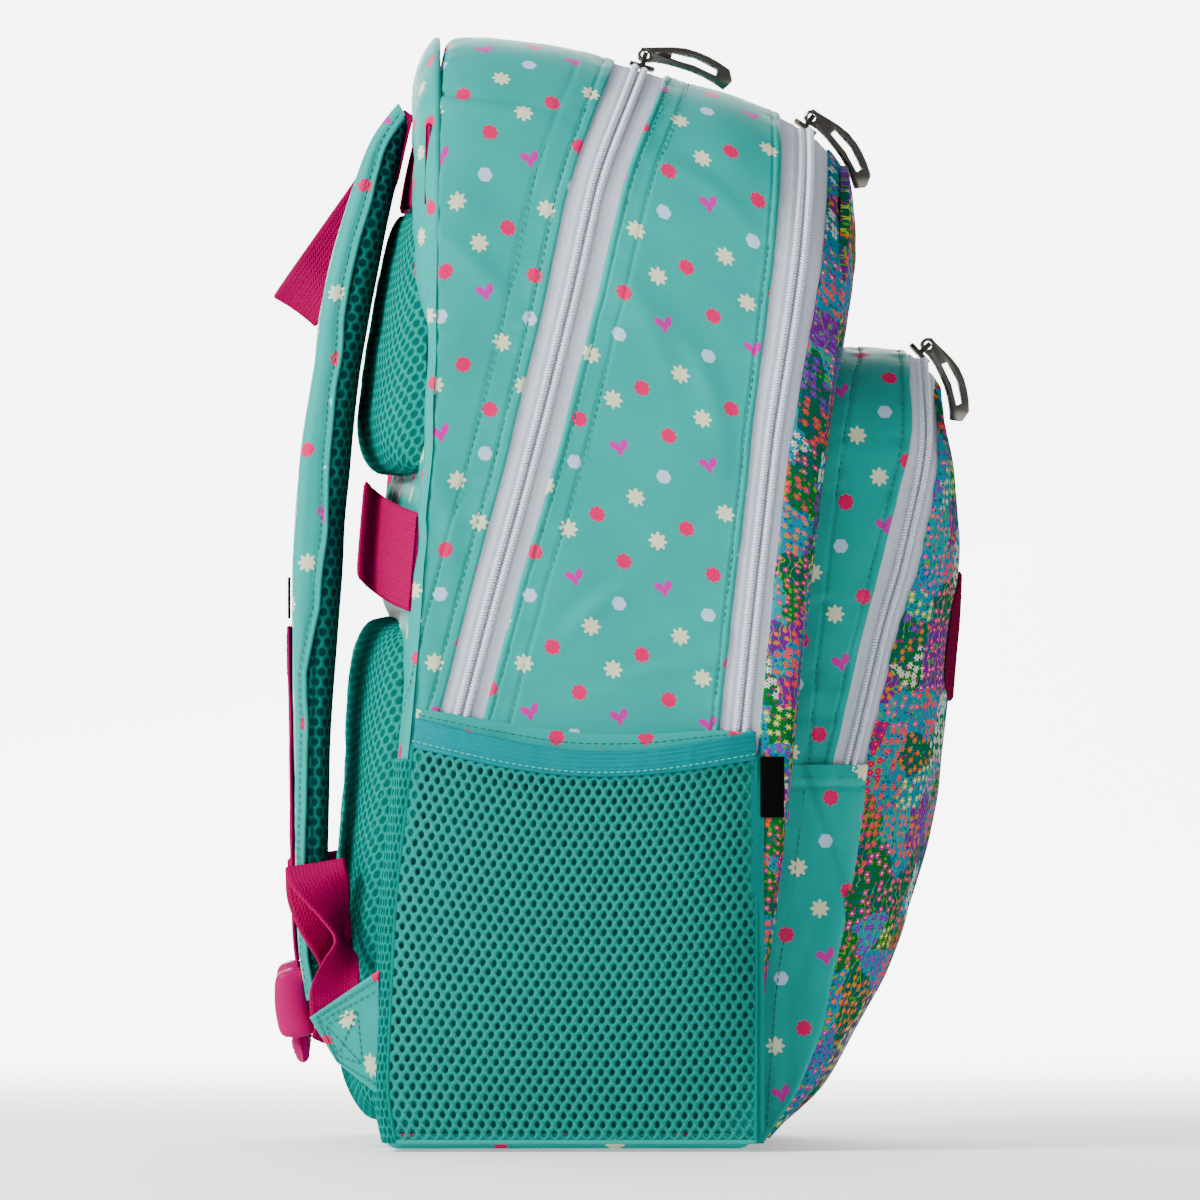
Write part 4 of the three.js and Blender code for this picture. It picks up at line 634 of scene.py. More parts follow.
gusset("front_gusset_cloth", BODY, ZIP2_FRONT, lambda z: FRONT_EDGE(z) - 2.6, 3.0, wrapB=2.8, mats=(M_MEADOW,), replaces=("front_gusset",), rowsA=(), rowsB=(), seed=3, m=30, billow=0.3, pinch=0.6)
zipper("rear", BODY, ZIP1_MID, zip1_rear, zip1_front, 100.0, 6.4)
zipper("front", BODY, zip2_mid, ZIP2_REAR, ZIP2_FRONT, 100.0, 6.4)
stitches_on("gusset_stitching", BODY, [lambda z: zip1_rear(z) + 4.7, lambda z: zip1_rear(z) + 15.0, lambda z: zip1_front(z) - 3.1,
                                       lambda z: zip1_front(z) - 11.0, lambda z: ZIP2_REAR(z) + 3.0], 120.0, 0.15)

def lower_side(sd, tag):
    n, m = 90, 120
    z = (2.4 + (156.0 - 2.4) * np.linspace(0, 1, n))[:, None]; t = np.linspace(0, 1, m)[None, :]
    y = REAR_SEAM(z) + (-55.2 - REAR_SEAM(z)) * t
    P = np.stack(np.broadcast_arrays(y, z), -1)
    x = 149.7 + 0.55 * np.clip((t - 0.88) / 0.04, 0, 1) * np.clip((150 - z) / 8, 0, 1) + 0.5 * vnoise(P, 38.0, 7) * np.sin(math.pi * t) + 0.2 * vnoise(P, 11.0, 8) + 0.45 + 1.4 * np.clip((z - 90) / 12, 0, 1) * np.clip(np.minimum(t, 1 - t) / 0.03, 0, 1) - 1.4 * np.clip(1 - t / 0.02, 0, 1)
    x = x - 5.0 * np.clip(1 - (z - 2.4) / 5.0, 0, 1) ** 2
    V = np.stack([sd * x, np.broadcast_to(y, x.shape), np.broadcast_to(z, x.shape)], -1)
    U = np.stack([-V[..., 1], V[..., 2] + 60], -1)
    # the wall inside the mesh pocket takes the darker mint, its colour with painted shade
    build("lower_side_cloth_" + tag, V, outward(V, grid_faces(n, m), (0, 20, 60)), U, (M_MINT_WALL_SHADED,), "bag", ("lower_side_" + tag,))
for sd, tag in ((-1, "left"), (1, "right")): lower_side(sd, tag)

# ----------------------------------------------------------------------------- back panel
def arch_half(z, W, H, R):
    return np.where(z <= H - R, W, W - R + np.sqrt(np.clip(R * R - (z - H + R) ** 2, 0, None)))
def back_bulge(z): return (6 + 8 * np.clip((z - 150) / 80, 0, 1)) * (1 - np.abs(2 * (z - 3) / 412 - 1) ** 6)
def back_surface(x, z): return REAR_SEAM(z) + 0.4 + back_bulge(z) * (1 - (x / 150.0) ** 2)

def back_panel():
    n, m = 300, 240
    z = (3 + 403 * np.linspace(0, 1, n))[:, None]; v = np.sin(np.linspace(-1, 1, m) * math.pi / 2)[None, :]
    x = v * arch_half(z, 150.6, 407, 50)
    P = np.stack(np.broadcast_arrays(x, z), -1)
    y = back_surface(x, z) + 1.6
    # pulled in round each pad, puffed between them
    def box_d(x, z, cx, cz, hx, hz):
        return np.maximum(np.abs(x - cx) - hx, np.abs(z - cz) - hz)
    d = np.minimum(np.minimum(box_d(np.abs(x), z, 71.5, 318, 62.5, 52), box_d(x, z, 0, 109.5, 128, 100.5)), 60)
    y = y - 1.7 * np.exp(-(d / 3.2) ** 2) + 1.4 * np.exp(-((d - 13) / 8.0) ** 2)
    y = y + 0.5 * vnoise(P, np.array([34.0, 21.0]), 31) + 0.35 * vnoise(P, np.array([9.0, 26.0]), 32)
    e = 1 - np.abs(v)
    y = y - 2.2 * np.clip(1 - e / 0.02, 0, 1) ** 2 + 0 * z
    V = np.stack(np.broadcast_arrays(x, y, z), -1)
    U = np.stack([V[..., 0], V[..., 2]], -1)
    build("back_panel_cloth", V, outward(V, grid_faces(n, m), (0, 0, 200)), U, (M_MINT2,), "bag", ("back_panel",))
back_panel()

def yoke():
    prof = np.array([[72.2, 0.6], [73.0, -0.3], [74.2, -0.3], [75.3, 0.2], [76.6, 1.9], [78.4, 4.5], [80.2, 8.2], [81.6, 12.5], [82.6, 17.5], [83.0, 23], [82.9, 28.5], [82.5, 31.0], [81.4, 31.6]])
    L = np.concatenate([[0], np.cumsum(np.linalg.norm(np.diff(prof, axis=0), axis=1))])
    k = np.linspace(0, L[-1], 44); pr = np.stack([np.interp(k, L, prof[:, 0]), np.interp(k, L, prof[:, 1])], 1)
    kind = dict(half=lambda y: 150.0 + 0 * y, top=lambda y: 439.6 + 0 * y, r=CORNER_R, H=436.0)
    n = 460; m = len(pr)
    s = np.linspace(0.285, 0.715, n)[:, None]
    base, A, _ = arch(kind, np.broadcast_to(s, (n, m)), lambda z: np.zeros_like(z), BASE_Z, np.broadcast_to(pr[None, :, 1], (n, m)))
    P = np.stack([A, np.broadcast_to(k[None, :], (n, m))], -1)
    base[..., 1] = pr[None, :, 0] + (0.5 * vnoise(P, np.array([26.0, 9.0]), 41) + 0.3 * vnoise(P, np.array([7.0, 12.0]), 42)) * np.clip(np.minimum(k, L[-1] - k) / 4, 0, 1)[None, :]
    base[..., 1] -= 0.6 * np.exp(-((k[None, :] - 27) / 0.8) ** 2)
    g = smooth01(np.minimum(s - 0.285, 0.715 - s) / 0.04)
    low, _, _ = arch(kind, np.broadcast_to(s, (n, m)), lambda z: np.zeros_like(z), BASE_Z, np.full((n, m), 4.0)); low[..., 1] = 73.0
    base = low + (base - low) * g[..., None]
    U = np.stack([A, -k[None, :] + 0 * A], -1)
    build("top_yoke_cloth", base, outward(base, grid_faces(n, m), (0, 20, 300)), U, (M_MINT2,), "bag", ("top_yoke",))
yoke()

def base_cloth():
    n, m = 60, 90
    u = np.linspace(-1, 1, n)[:, None]; v = np.linspace(-1, 1, m)[None, :]
    # bottom sheet with rounded edges turned up to the walls
    x, y = 151.0 * u, 22 + 73.0 * v
    e = np.minimum(np.minimum(1 - np.abs(u), 10) * 150, (1 - np.abs(v)) * 73)
    z = 0.25 + 6.0 * (1 - np.sqrt(np.clip(1 - np.clip(1 - e / 6.0, 0, 1) ** 2, 0, 1))) + 0.15
    P = np.stack(np.broadcast_arrays(x, y), -1)
    z = z + 0.25 * np.abs(vnoise(P, 30.0, 51)) * np.clip(e / 20, 0, 1)
    V = np.stack(np.broadcast_arrays(x, y, z), -1)
    U = np.stack([V[..., 0], V[..., 1]], -1)
    build("base_cloth", V, outward(V, grid_faces(n, m), (0, 20, 200)), U, (M_MINT2,), "bag", ("base_panel",))
base_cloth()

# ----------------------------------------------------------------------------- front wall and pocket
def front_half(z): return arch_half(z, 138.0, 389.0, 50.0)
def front_surface(x, z):
    s = np.clip(np.abs(x) / front_half(z), 0, 1)
    edge = np.sqrt(np.clip((389 - z) / 34, 0, 1)) * np.clip((z + 6) / 20, 0, 1)
    return FRONT_EDGE(z) - 0.4 - 5.2 * np.sqrt(1 - s * s) * edge

def front_panel():
    n, m = 330, 220
    k = np.linspace(0, 1, n)
    z = np.where(k < 0.82, 3 + 336 * k / 0.82, 339 + 50 * np.sin(np.clip((k - 0.82) / 0.18, 0, 1) * math.pi / 2))[:, None]
    v = np.sin(np.linspace(-1, 1, m) * math.pi / 2)[None, :]
    x = v * front_half(z)
    y = front_surface(x, z) - 1.6
    P = np.stack(np.broadcast_arrays(x, z), -1)
    w = np.clip((1 - np.abs(v)) / 0.06, 0, 1)
    y = y + 3.0 * np.exp(-((1 - np.abs(v)) * 130 / 0.8) ** 2)
    y = y - (0.8 * vnoise(P, 44.0, 61) + 0.35 * vnoise(P, 13.0, 62)) * w
    V = np.stack(np.broadcast_arrays(x, y, z), -1)
    U = np.stack([V[..., 0] + 7, V[..., 2]], -1)
    build("front_panel_cloth", V, outward(V, grid_faces(n, m), (0, 0, 200)), U, (M_MEADOW,), "bag", ("front_panel",))
    # a path and an arch for a seam welt round the front wall; the welt itself is not built
    s = np.linspace(0, 1, 900)
    kind = dict(half=body_half, top=lambda y: 389.0 + 0 * y, r=50.0, H=389.0)
front_panel()

gusset("pocket_gusset_cloth", POCKET, lambda z: pocket_seam(z) + 4.0, ZIP3_REAR, 149.0, lipA=False, replaces=("pocket_gusset",), rowsA=(7.6,), rowsB=(3.4,), seed=4, m=60, billow=1.9, pinch=1.8)
zipper("pocket", POCKET, zip3_mid, ZIP3_REAR, ZIP3_FRONT, 149.5, 5.2)
stitches_on("pocket_gusset_stitching", POCKET, [lambda z: pocket_seam(z) - 3.6, lambda z: ZIP3_REAR(z) + 3.4], 152.0, 0.0)

def pocket_lower(sd, tag):
    n, m = 150, 60
    z = (3.0 + (151.6 - 3.0) * np.linspace(0, 1, n))[:, None]; t = np.linspace(0, 1, m)[None, :]
    a, b = pocket_seam(z) + 4.0, LOWER_POCKET_EDGE(z) - 0.4
    y = a + (np.minimum(b, a - 1.2) - a) * t
    P = np.stack(np.broadcast_arrays(y, z), -1)
    w = a - b
    x = pocket_half(y) + 0.2 + (0.9 * vnoise(P, np.array([13.0, 34.0]), 71) + 0.35 * vnoise(P, np.array([5.0, 12.0]), 72)) * np.sin(math.pi * np.clip(t, 0.02, 0.98))
    # a diagonal crease running down from the zip end, and the turned hem at the top
    d = (z - 128) * 0.35 - (y + 78)
    x = x - 1.2 * np.exp(-(d / 2.4) ** 2) * np.clip((z - 30) / 60, 0, 1)
    x = x + 0.7 * np.clip((z - 143) / 3, 0, 1) - 0.6 * np.exp(-((z - 143) / 0.9) ** 2)
    x = x - 0.7 * np.exp(-((1 - t) * w / 0.9) ** 2)
    V = np.stack([sd * x, np.broadcast_to(y, x.shape), np.broadcast_to(z, x.shape)], -1)
    U = np.stack([-V[..., 1] + 6, V[..., 2] + 24], -1)
    build("pocket_lower_cloth_" + tag, V, outward(V, grid_faces(n, m), (0, -80, 80)), U, (M_MINT,), "bag", ("pocket_lower_gusset_" + tag,))
    pts = []
    zs = np.linspace(8, 142, 80); ys = pocket_seam(zs) - 3.4
    pts.append(polyline_stitches(np.stack([sd * (pocket_half(ys) + 0.3), ys, zs], 1), np.tile([sd, 0, 0], (80, 1))))
    ys = np.linspace(pocket_seam(146.5) - 1, LOWER_POCKET_EDGE(146.5) + 1, 30); zs = np.full(30, 146.5)
    pts.append(polyline_stitches(np.stack([sd * (pocket_half(ys) + 1.0), ys, zs], 1), np.tile([sd, 0, 0], (30, 1))))
    V, F, U = join_parts(pts)
    build("pocket_lower_stitching_" + tag, V, F, U, (M_THREAD,), "bag", ())
for sd, tag in ((-1, "left"), (1, "right")): pocket_lower(sd, tag)

def pocket_edge(z): return np.where(z < 151, LOWER_POCKET_EDGE(np.minimum(z, 151.9)), ZIP3_FRONT(np.maximum(z, 141)))
def pocket_face_y(x, z, grow=1.8):
    e = pocket_edge(z) - 0.5
    W = arch_half(z, pocket_half(e), 304.6, 40.0)
    k = np.clip(np.abs(x / W), 0, 1)
    c = np.minimum(POCKET_CROWN(z), e - 1.9)
    return e - 1.8 + (c - e + 1.8) * (1 - k ** 2.3) + grow

def pocket_front():
    n, m = 330, 240
    k = np.linspace(0, 1, n); z = np.where(k < 0.85, 4.0 + 260 * k / 0.85, 264 + 40.3 * np.sin(np.clip((k - 0.85) / 0.15, 0, 1) * math.pi / 2))[:, None]
    e = pocket_edge(z) - 0.5
    W = arch_half(z, pocket_half(e), 304.6, 40.0)
    v = np.sin(np.linspace(-1, 1, m) * math.pi / 2)[None, :]
    x = v * W
    y = pocket_face_y(x, z, 0.2)
    P = np.stack(np.broadcast_arrays(x, z), -1)
    edge = np.clip((1 - np.abs(v)) * W / 14, 0, 1)
    y = y - (0.9 * vnoise(P, 40.0, 81) + 0.4 * vnoise(P, np.array([12.0, 17.0]), 82)) * edge
    y = y + 0.35 * vnoise(np.stack(np.broadcast_arrays(z * 1.0, z * 0), -1), 4.0, 83) * (1 - edge) * np.sign(1)
    y = y + 3.2 * np.exp(-((1 - np.abs(v)) * W / 0.9) ** 2) + 2.0 * np.clip((z - 300) / 4.3, 0, 1) ** 2
    V = np.stack(np.broadcast_arrays(x, y, z), -1)
    # arc length across, so that the print does not stretch where the face turns away
    dd = np.diff(V[..., :2], axis=1); sq = 1 - 0.72 * smooth01((np.abs(v[:, 1:]) - 0.35) / 0.4)
    dx = np.concatenate([np.zeros((n, 1)), np.sqrt((dd[..., 0] * sq) ** 2 + dd[..., 1] ** 2)], 1)
    A = np.cumsum(dx, axis=1); A = A - A[:, m // 2:m // 2 + 1]
    U = np.stack([A, V[..., 2] * 1.0], -1)
    build("pocket_front_cloth", V, outward(V, grid_faces(n, m), (0, -60, 150)), U, (M_MEADOW,), "bag", ("pocket_front",))
pocket_front()

def patch():
    n, m = 60, 110
    u = np.linspace(0, 1, n)[:, None]; v = np.linspace(-1, 1, m)[None, :]
    z = 176 + 52 * u; x = v * 56 * np.sqrt(1 - 0.75 * (2 * u - 1) ** 4)
    e = np.minimum(np.minimum(u, 1 - u) * 52, (1 - np.abs(v)) * 50)
    y = pocket_face_y(x, z, 0.2) - 0.6 - 1.1 * np.sqrt(np.clip(e / 1.6, 0, 1)) + 0.12 * np.sin((x + z) * 2 * math.pi / 2.2)
    V = np.stack(np.broadcast_arrays(x, y, z), -1)
    U = np.stack([V[..., 0], V[..., 2]], -1)
    build("front_patch_embroidery", V, outward(V, grid_faces(n, m), (0, -60, 200)), U, (M_PATCH,), "bag", ("front_patch",))
patch()

# ----------------------------------------------------------------------------- side mesh pockets
def catmull(tbl, k):
    i = np.clip(np.floor(k).astype(int), 0, len(tbl) - 2); f = (k - i)[:, None]
    p0, p1, p2, p3 = tbl[np.clip(i - 1, 0, None)], tbl[i], tbl[i + 1], tbl[np.clip(i + 2, None, len(tbl) - 1)]
    return 0.5 * (2 * p1 + (p2 - p0) * f + (2 * p0 - 5 * p1 + 4 * p2 - p3) * f ** 2 + (3 * p1 - p0 - 3 * p2 + p3) * f ** 3)

FORE = -52.0
def pocket_rear(z): return REAR_SEAM(z) - 1.4
def bulge(p, q):
    return 0.5 + 13.0 * (1 - np.abs(p) ** 3) ** 0.8 * np.sin(np.minimum(1, q * 1.9 + 0.02) * math.pi / 2) * (1 - 0.32 * np.clip((q - 0.55) / 0.45, 0, 1))

def mesh_point(sd, a, b, t):
    """a along the pocket 0..1 (front to rear), b up 0..1; t outwards."""
    y0 = FORE + (pocket_rear(80.0) - FORE) * a
    z = 3.2 + (MOUTH_LOW(y0) + 1.0 - 3.2) * b
    y = FORE + (pocket_rear(z) - FORE) * a
    P = np.stack([y, z], -1)
    x = 150 + bulge(2 * a - 1, b) + t + 0.9 * vnoise(P, np.array([48.0, 26.0]), 91) * np.sin(math.pi * np.clip(a, 0, 1)) * np.sin(math.pi * np.clip(b, 0, 1))
    return np.stack([sd * x, y, z], -1), P

def mesh_pocket(sd, tag):
    W, H = 143.0, 150.0
    px, pz = 4.3, 3.55
    seg, rings = 16, 3
    ang = np.arange(seg) / seg * 2 * math.pi
    # a cell is a hexagon on a staggered lattice; its hole is a slanted oval
    hexv = np.array([(px / 2, -pz * 0.18), (px / 2, pz * 0.18 + 0.0), (0, pz * 0.5 + pz * 0.32), (-px / 2, pz * 0.18), (-px / 2, -pz * 0.18), (0, -pz * 0.5 - pz * 0.32)])
    def hex_edge(th):
        d = np.array([math.cos(th), math.sin(th)]); best = 1e9
        for i in range(6):
            p, q = hexv[i], hexv[(i + 1) % 6]; e = q - p
            den = d[0] * e[1] - d[1] * e[0]
            if abs(den) < 1e-9: continue
            r = (p[0] * e[1] - p[1] * e[0]) / den; u = (p[0] * d[1] - p[1] * d[0]) / den
            if r > 0 and -1e-6 <= u <= 1 + 1e-6: best = min(best, r)
        return best * d
    hexv[[2, 5]] = [(0, pz - pz * 0.18 * 1.0), (0, -pz + pz * 0.18)]
    # corner directions first, so that neighbouring cells meet exactly
    ths = sorted(list(ang) + [math.atan2(v[1], v[0]) % (2 * math.pi) for v in hexv])
    ths = [t for i, t in enumerate(ths) if i == 0 or t - ths[i - 1] > 0.05]
    outer = np.array([hex_edge(t) for t in ths]); k = len(ths)
    ca, sa = math.cos(0.28), math.sin(0.28)
    th = np.array(ths) - 0.0
    r0, r1 = px * 0.225, pz * 0.40
    ov = np.stack([r0 * np.cos(th), r1 * np.sin(th)], 1)
    inner = np.stack([ov[:, 0] * ca - ov[:, 1] * sa * 0.6, ov[:, 0] * sa + ov[:, 1] * ca], 1)
    fr = [0.0, 0.34, 0.72, 1.0]
    prof = [0.0, 0.62, 0.95, 1.0]
    cells = []
    for j in range(int(H / pz) + 3):
        for i in range(int(W / px) + 3):
            cells.append(((i + 0.5 * (j % 2)) * px, j * pz))
    C = np.array(cells)
    ring = []
    hgt = []
    for f, h in zip(fr, prof):
        ring.append(inner * (1 - f) + outer * f); hgt.append(np.full(k, h))
    loc = np.concatenate(ring); hh = np.concatenate(hgt)
    jit = np.stack([vnoise(C, 3.1, 93), vnoise(C + 50, 3.1, 94)], 1) * 0.16
    pts = C[:, None, :] + loc[None] + jit[:, None, :] * (1 - np.repeat(np.array(fr), k))[None, :, None]
    a = np.clip(pts[..., 0] / W, 0, 1); b = np.clip(pts[..., 1] / H, 0, 1)
    inside = (C[:, 0] > -px * 0.4) & (C[:, 0] < W + px * 0.4) & (C[:, 1] > -pz * 0.4) & (C[:, 1] < H + pz * 0.4)
    a, b, C = a[inside], b[inside], C[inside]
    row = 0.12 * np.sin(C[:, 1] * 2 * math.pi / 7.1)[:, None]
    t = -0.3 + 0.8 * hh[None, :] + 0 * a + row
    V, P = mesh_point(sd, a, b, t)
    f = []
    for r in range(len(fr) - 1):
        for i in range(k):
            p, q = r * k + i, r * k + (i + 1) % k
            f.append((p, q, q + k, p + k))
    f = np.array(f)
    F = (f[None] + (np.arange(len(a)) * len(hh))[:, None, None]).reshape(-1, 4)
    if sd < 0: F = F[:, ::-1]
    U = np.stack([-V[..., 1], V[..., 2]], -1)
    ob = build("mesh_pocket_net_" + tag, V, F, U, (M_MESH,), "bag", ("mesh_pocket_" + tag,))
    # edge binding: at the front seam and along the base
    for nm, aa, bb in (("front", np.zeros(90), np.linspace(0, 1, 90)), ("rear", np.ones(90), np.linspace(0, 1, 90)), ("foot", np.linspace(0, 1, 90), np.zeros(90))):
        c, _ = mesh_point(sd, aa, bb, 0.2)
        tube(nm + "_mesh_binding_" + tag, c, 0.9, M_MINT_EDGE if nm == "foot" else M_MESHCORE)

def tube(name, c, r, mat, body="bag", seg=10):
    c = np.asarray(c, float); T = np.gradient(c, axis=0); T /= np.linalg.norm(T, axis=1, keepdims=True)
    up = np.array([0.3, 0.5, 0.81]); A = np.cross(T, up); A /= np.linalg.norm(A, axis=1, keepdims=True); B = np.cross(T, A)
    ang = np.arange(seg) / seg * 2 * math.pi
    rr = np.broadcast_to(np.asarray(r, float), (len(c),))[:, None, None]
    V = c[:, None, :] + (A[:, None, :] * np.cos(ang)[None, :, None] + B[:, None, :] * np.sin(ang)[None, :, None]) * rr
    L = np.concatenate([[0], np.cumsum(np.linalg.norm(np.diff(c, axis=0), axis=1))])
    U = np.stack([np.broadcast_to(ang[None, :] * np.max(r), (len(c), seg)), np.broadcast_to(L[:, None], (len(c), seg))], -1)
    F = grid_faces(len(c), seg, wrap_v=True)
    return build(name, V, outward_tube(V, F, c, seg), U, (mat,), body, ())

def outward_tube(V, F, c, seg):
    v = V.reshape(-1, 3); a, b, d = v[F[:, 0]], v[F[:, 1]], v[F[:, 2]]
    n = np.cross(b - a, d - a); cc = c[F[:, 0] // seg]
    return F[:, ::-1] if np.sum(n * (a - cc)) < 0 else F

def closed_strip(name, outer, thick_dir, thick, uv_off=(0, 0), mats=(), body="bag", replaces=(), u_len=None, v_len=None, round_edge=0.5):
    """A band of webbing or cloth from a grid of mid points (n, m, 3) and the unit direction of its thickness (n, m, 3)."""
    n, m, _ = outer.shape
    k = np.linspace(0, 1, m); e = np.minimum(k, 1 - k) * (v_len or 1)
    prof = np.sqrt(np.clip(1 - np.clip(1 - e / round_edge, 0, 1) ** 2, 0.02, 1))[None, :, None]
    top = outer + thick_dir * thick / 2 * prof; bot = outer - thick_dir * thick / 2 * prof
    V = np.concatenate([top, bot[:, ::-1]], axis=1)
    u = np.concatenate([k, k[::-1]]) * (v_len or 1) + uv_off[1]
    L = (np.linspace(0, 1, n) * (u_len or 1) + uv_off[0])[:, None]
    U = np.stack([np.broadcast_to(L, (n, 2 * m)), np.broadcast_to(u[None, :], (n, 2 * m))], -1)
    F = grid_faces(n, 2 * m, wrap_v=True)
    Vf = V.reshape(-1, 3); Uf = U.reshape(-1, 2)
    a, b, d = Vf[F[:, 0]], Vf[F[:, 1]], Vf[F[:, 2]]
    nn = np.cross(b - a, d - a); mid = outer.mean(axis=1)[F[:, 0] // (2 * m)]
    if np.sum(nn * (a - mid)) < 0: F = F[:, ::-1]
    faces = F.tolist()
    faces.append(list(range(2 * m))); faces.append([(n - 1) * 2 * m + i for i in range(2 * m)][::-1])
    return build(name, Vf, faces, Uf, mats, body, replaces)

def pocket_wrap(sd, tag):
    n, m = 150, 26
    z = np.linspace(2.6, 154, n); R = REAR_SEAM(z)
    ctrl = [(-151.1, -1.8, 0.0), (-151.3, 0.4, 0.0), (-150.2, 2.6, 0.0), (-147.0, 3.4, 0.0), (-141.0, 4.2, 0.0), (-134.0, 4.0, 0.0)]
    k = np.linspace(0, len(ctrl) - 1, m); C = catmull(np.array(ctrl), k)
    x = np.broadcast_to(-C[None, :, 0], (n, m)) + 0.3 * vnoise(np.stack(np.meshgrid(z, k * 5, indexing="ij"), -1), 20.0, 97)
    y = R[:, None] + C[None, :, 1] + np.maximum(0, back_bulge(z))[:, None] * (1 - (x / 150.0) ** 2).clip(0, 1)
    V = np.stack([sd * x, y, np.broadcast_to(z[:, None], (n, m))], -1)
    U = np.stack([np.broadcast_to((k * 5.2)[None, :], (n, m)), V[..., 2]], -1)
    build("mesh_pocket_wrap_" + tag, V, outward(V, grid_faces(n, m), (0, 20, 80)), U, (M_SPACER,), "bag", ())

def pocket_top(sd, tag):
    """Ribbed elastic at the mouth, and the gathered cloth lip folded over it."""
    n, m = 260, 64
    v = np.linspace(0, 1, n)[:, None]; u = np.linspace(0, 1, m)[None, :]
    y0 = FORE + (pocket_rear(80.0) - FORE) * v
    lo, hi = MOUTH_LOW(y0) - 0.6, MOUTH_TOP(y0)
    z = lo + (hi - lo) * u
    y = FORE + (pocket_rear(z) - FORE) * v
    P = np.stack(np.broadcast_arrays(y, z), -1)
    ribs = 0.32 * np.abs(np.sin(u * math.pi * 6.0))
    t = 1.1 + ribs + 0.35 * vnoise(np.stack(np.broadcast_arrays(y, z * 0), -1), 2.6, 95) * 0.5
    x = 150 + bulge(2 * v - 1, 1.0) + t
    edge = np.minimum(u, 1 - u) * 11
    x = x - 1.3 * (1 - np.sqrt(np.clip(1 - np.clip(1 - edge / 1.0, 0, 1) ** 2, 0, 1)))
    V = np.stack([sd * x, y, z], -1)
    U = np.stack([-V[..., 1], V[..., 2]], -1)
    F = outward(V, grid_faces(n, m), (0, 20, 160))
    build("pocket_elastic_ribs_" + tag, V, F, U, (M_ELASTIC,), "bag", ("pocket_elastic_" + tag,))
    # back of the elastic
    V2 = V.copy(); V2[..., 0] = sd * (150 + np.broadcast_to(bulge(2 * v - 1, 1.0), x.shape) - 0.1)
    build("pocket_elastic_back_" + tag, V2, F[:, ::-1], U, (M_ELASTIC,), "bag", ())
    yy = y0[:, 0]; mid = (MOUTH_LOW(yy) + MOUTH_TOP(yy)) / 2
    parts = []
    for dz in (-3.6,):
        zz = mid + dz; yv = FORE + (pocket_rear(zz) - FORE) * v[:, 0]
        parts.append(polyline_stitches(np.stack([sd * (150 + bulge(2 * v[:, 0] - 1, 1.0) + 1.75), yv, zz], 1), np.tile([sd, 0, 0], (n, 1)), pitch=2.6, length=1.9))
    VV, FF, UU = join_parts(parts)
    build("pocket_elastic_stitching_" + tag, VV, FF, UU, (M_THREAD_L,), "bag", ())
    # cloth lip between the wall and the mouth, seen above the elastic
    m = 30; u = np.linspace(0, 1, m)[None, :]
    span = 2.0 + 6.5 * np.clip(np.sin(math.pi * np.clip((y0 + 46) / 150, 0, 1)), 0, 1) ** 0.6
    z = MOUTH_TOP(y0) - 1.5 + span * u
    y = FORE + 2 + (pocket_rear(z) - 2 - FORE) * v
    P = np.stack(np.broadcast_arrays(y, z), -1)
    x = 150.6 + (0.9 + 0.5 * vnoise(P, np.array([9.0, 30.0]), 96)) * (1 - u ** 4) + (bulge(2 * v - 1, 1.0) * 0.32) * (1 - u) ** 1.2
    V = np.stack([sd * x, y, z], -1); U = np.stack([-V[..., 1] + 9, V[..., 2]], -1)
    build("pocket_mouth_lip_" + tag, V, outward(V, grid_faces(n, m), (0, 20, 160)), U, (M_MINT,), "bag", ())
    k = m // 2
    pts = V[:, k]; nrm = np.tile([sd, 0, 0.25], (n, 1))
    a, b, c = polyline_stitches(pts, nrm, pitch=3.0)
    build("pocket_mouth_stitching_" + tag, a, b, c, (M_THREAD,), "bag", ())

for sd, tag in ((-1, "left"), (1, "right")):
    mesh_pocket(sd, tag); pocket_wrap(sd, tag); pocket_top(sd, tag)

# ----------------------------------------------------------------------------- pads
def curve_t(tbl, z): return np.interp(z, [t[0] for t in tbl], [t[1] for t in tbl])
UPPER_PAD_T = [[266, 15], [290, 14.8], [332, 9.6], [355, 6.8], [371, 6]]
LUMBAR_T = [[7, 12], [50, 12], [100, 13.3], [150, 14.5], [196, 15.6], [211, 15.6]]

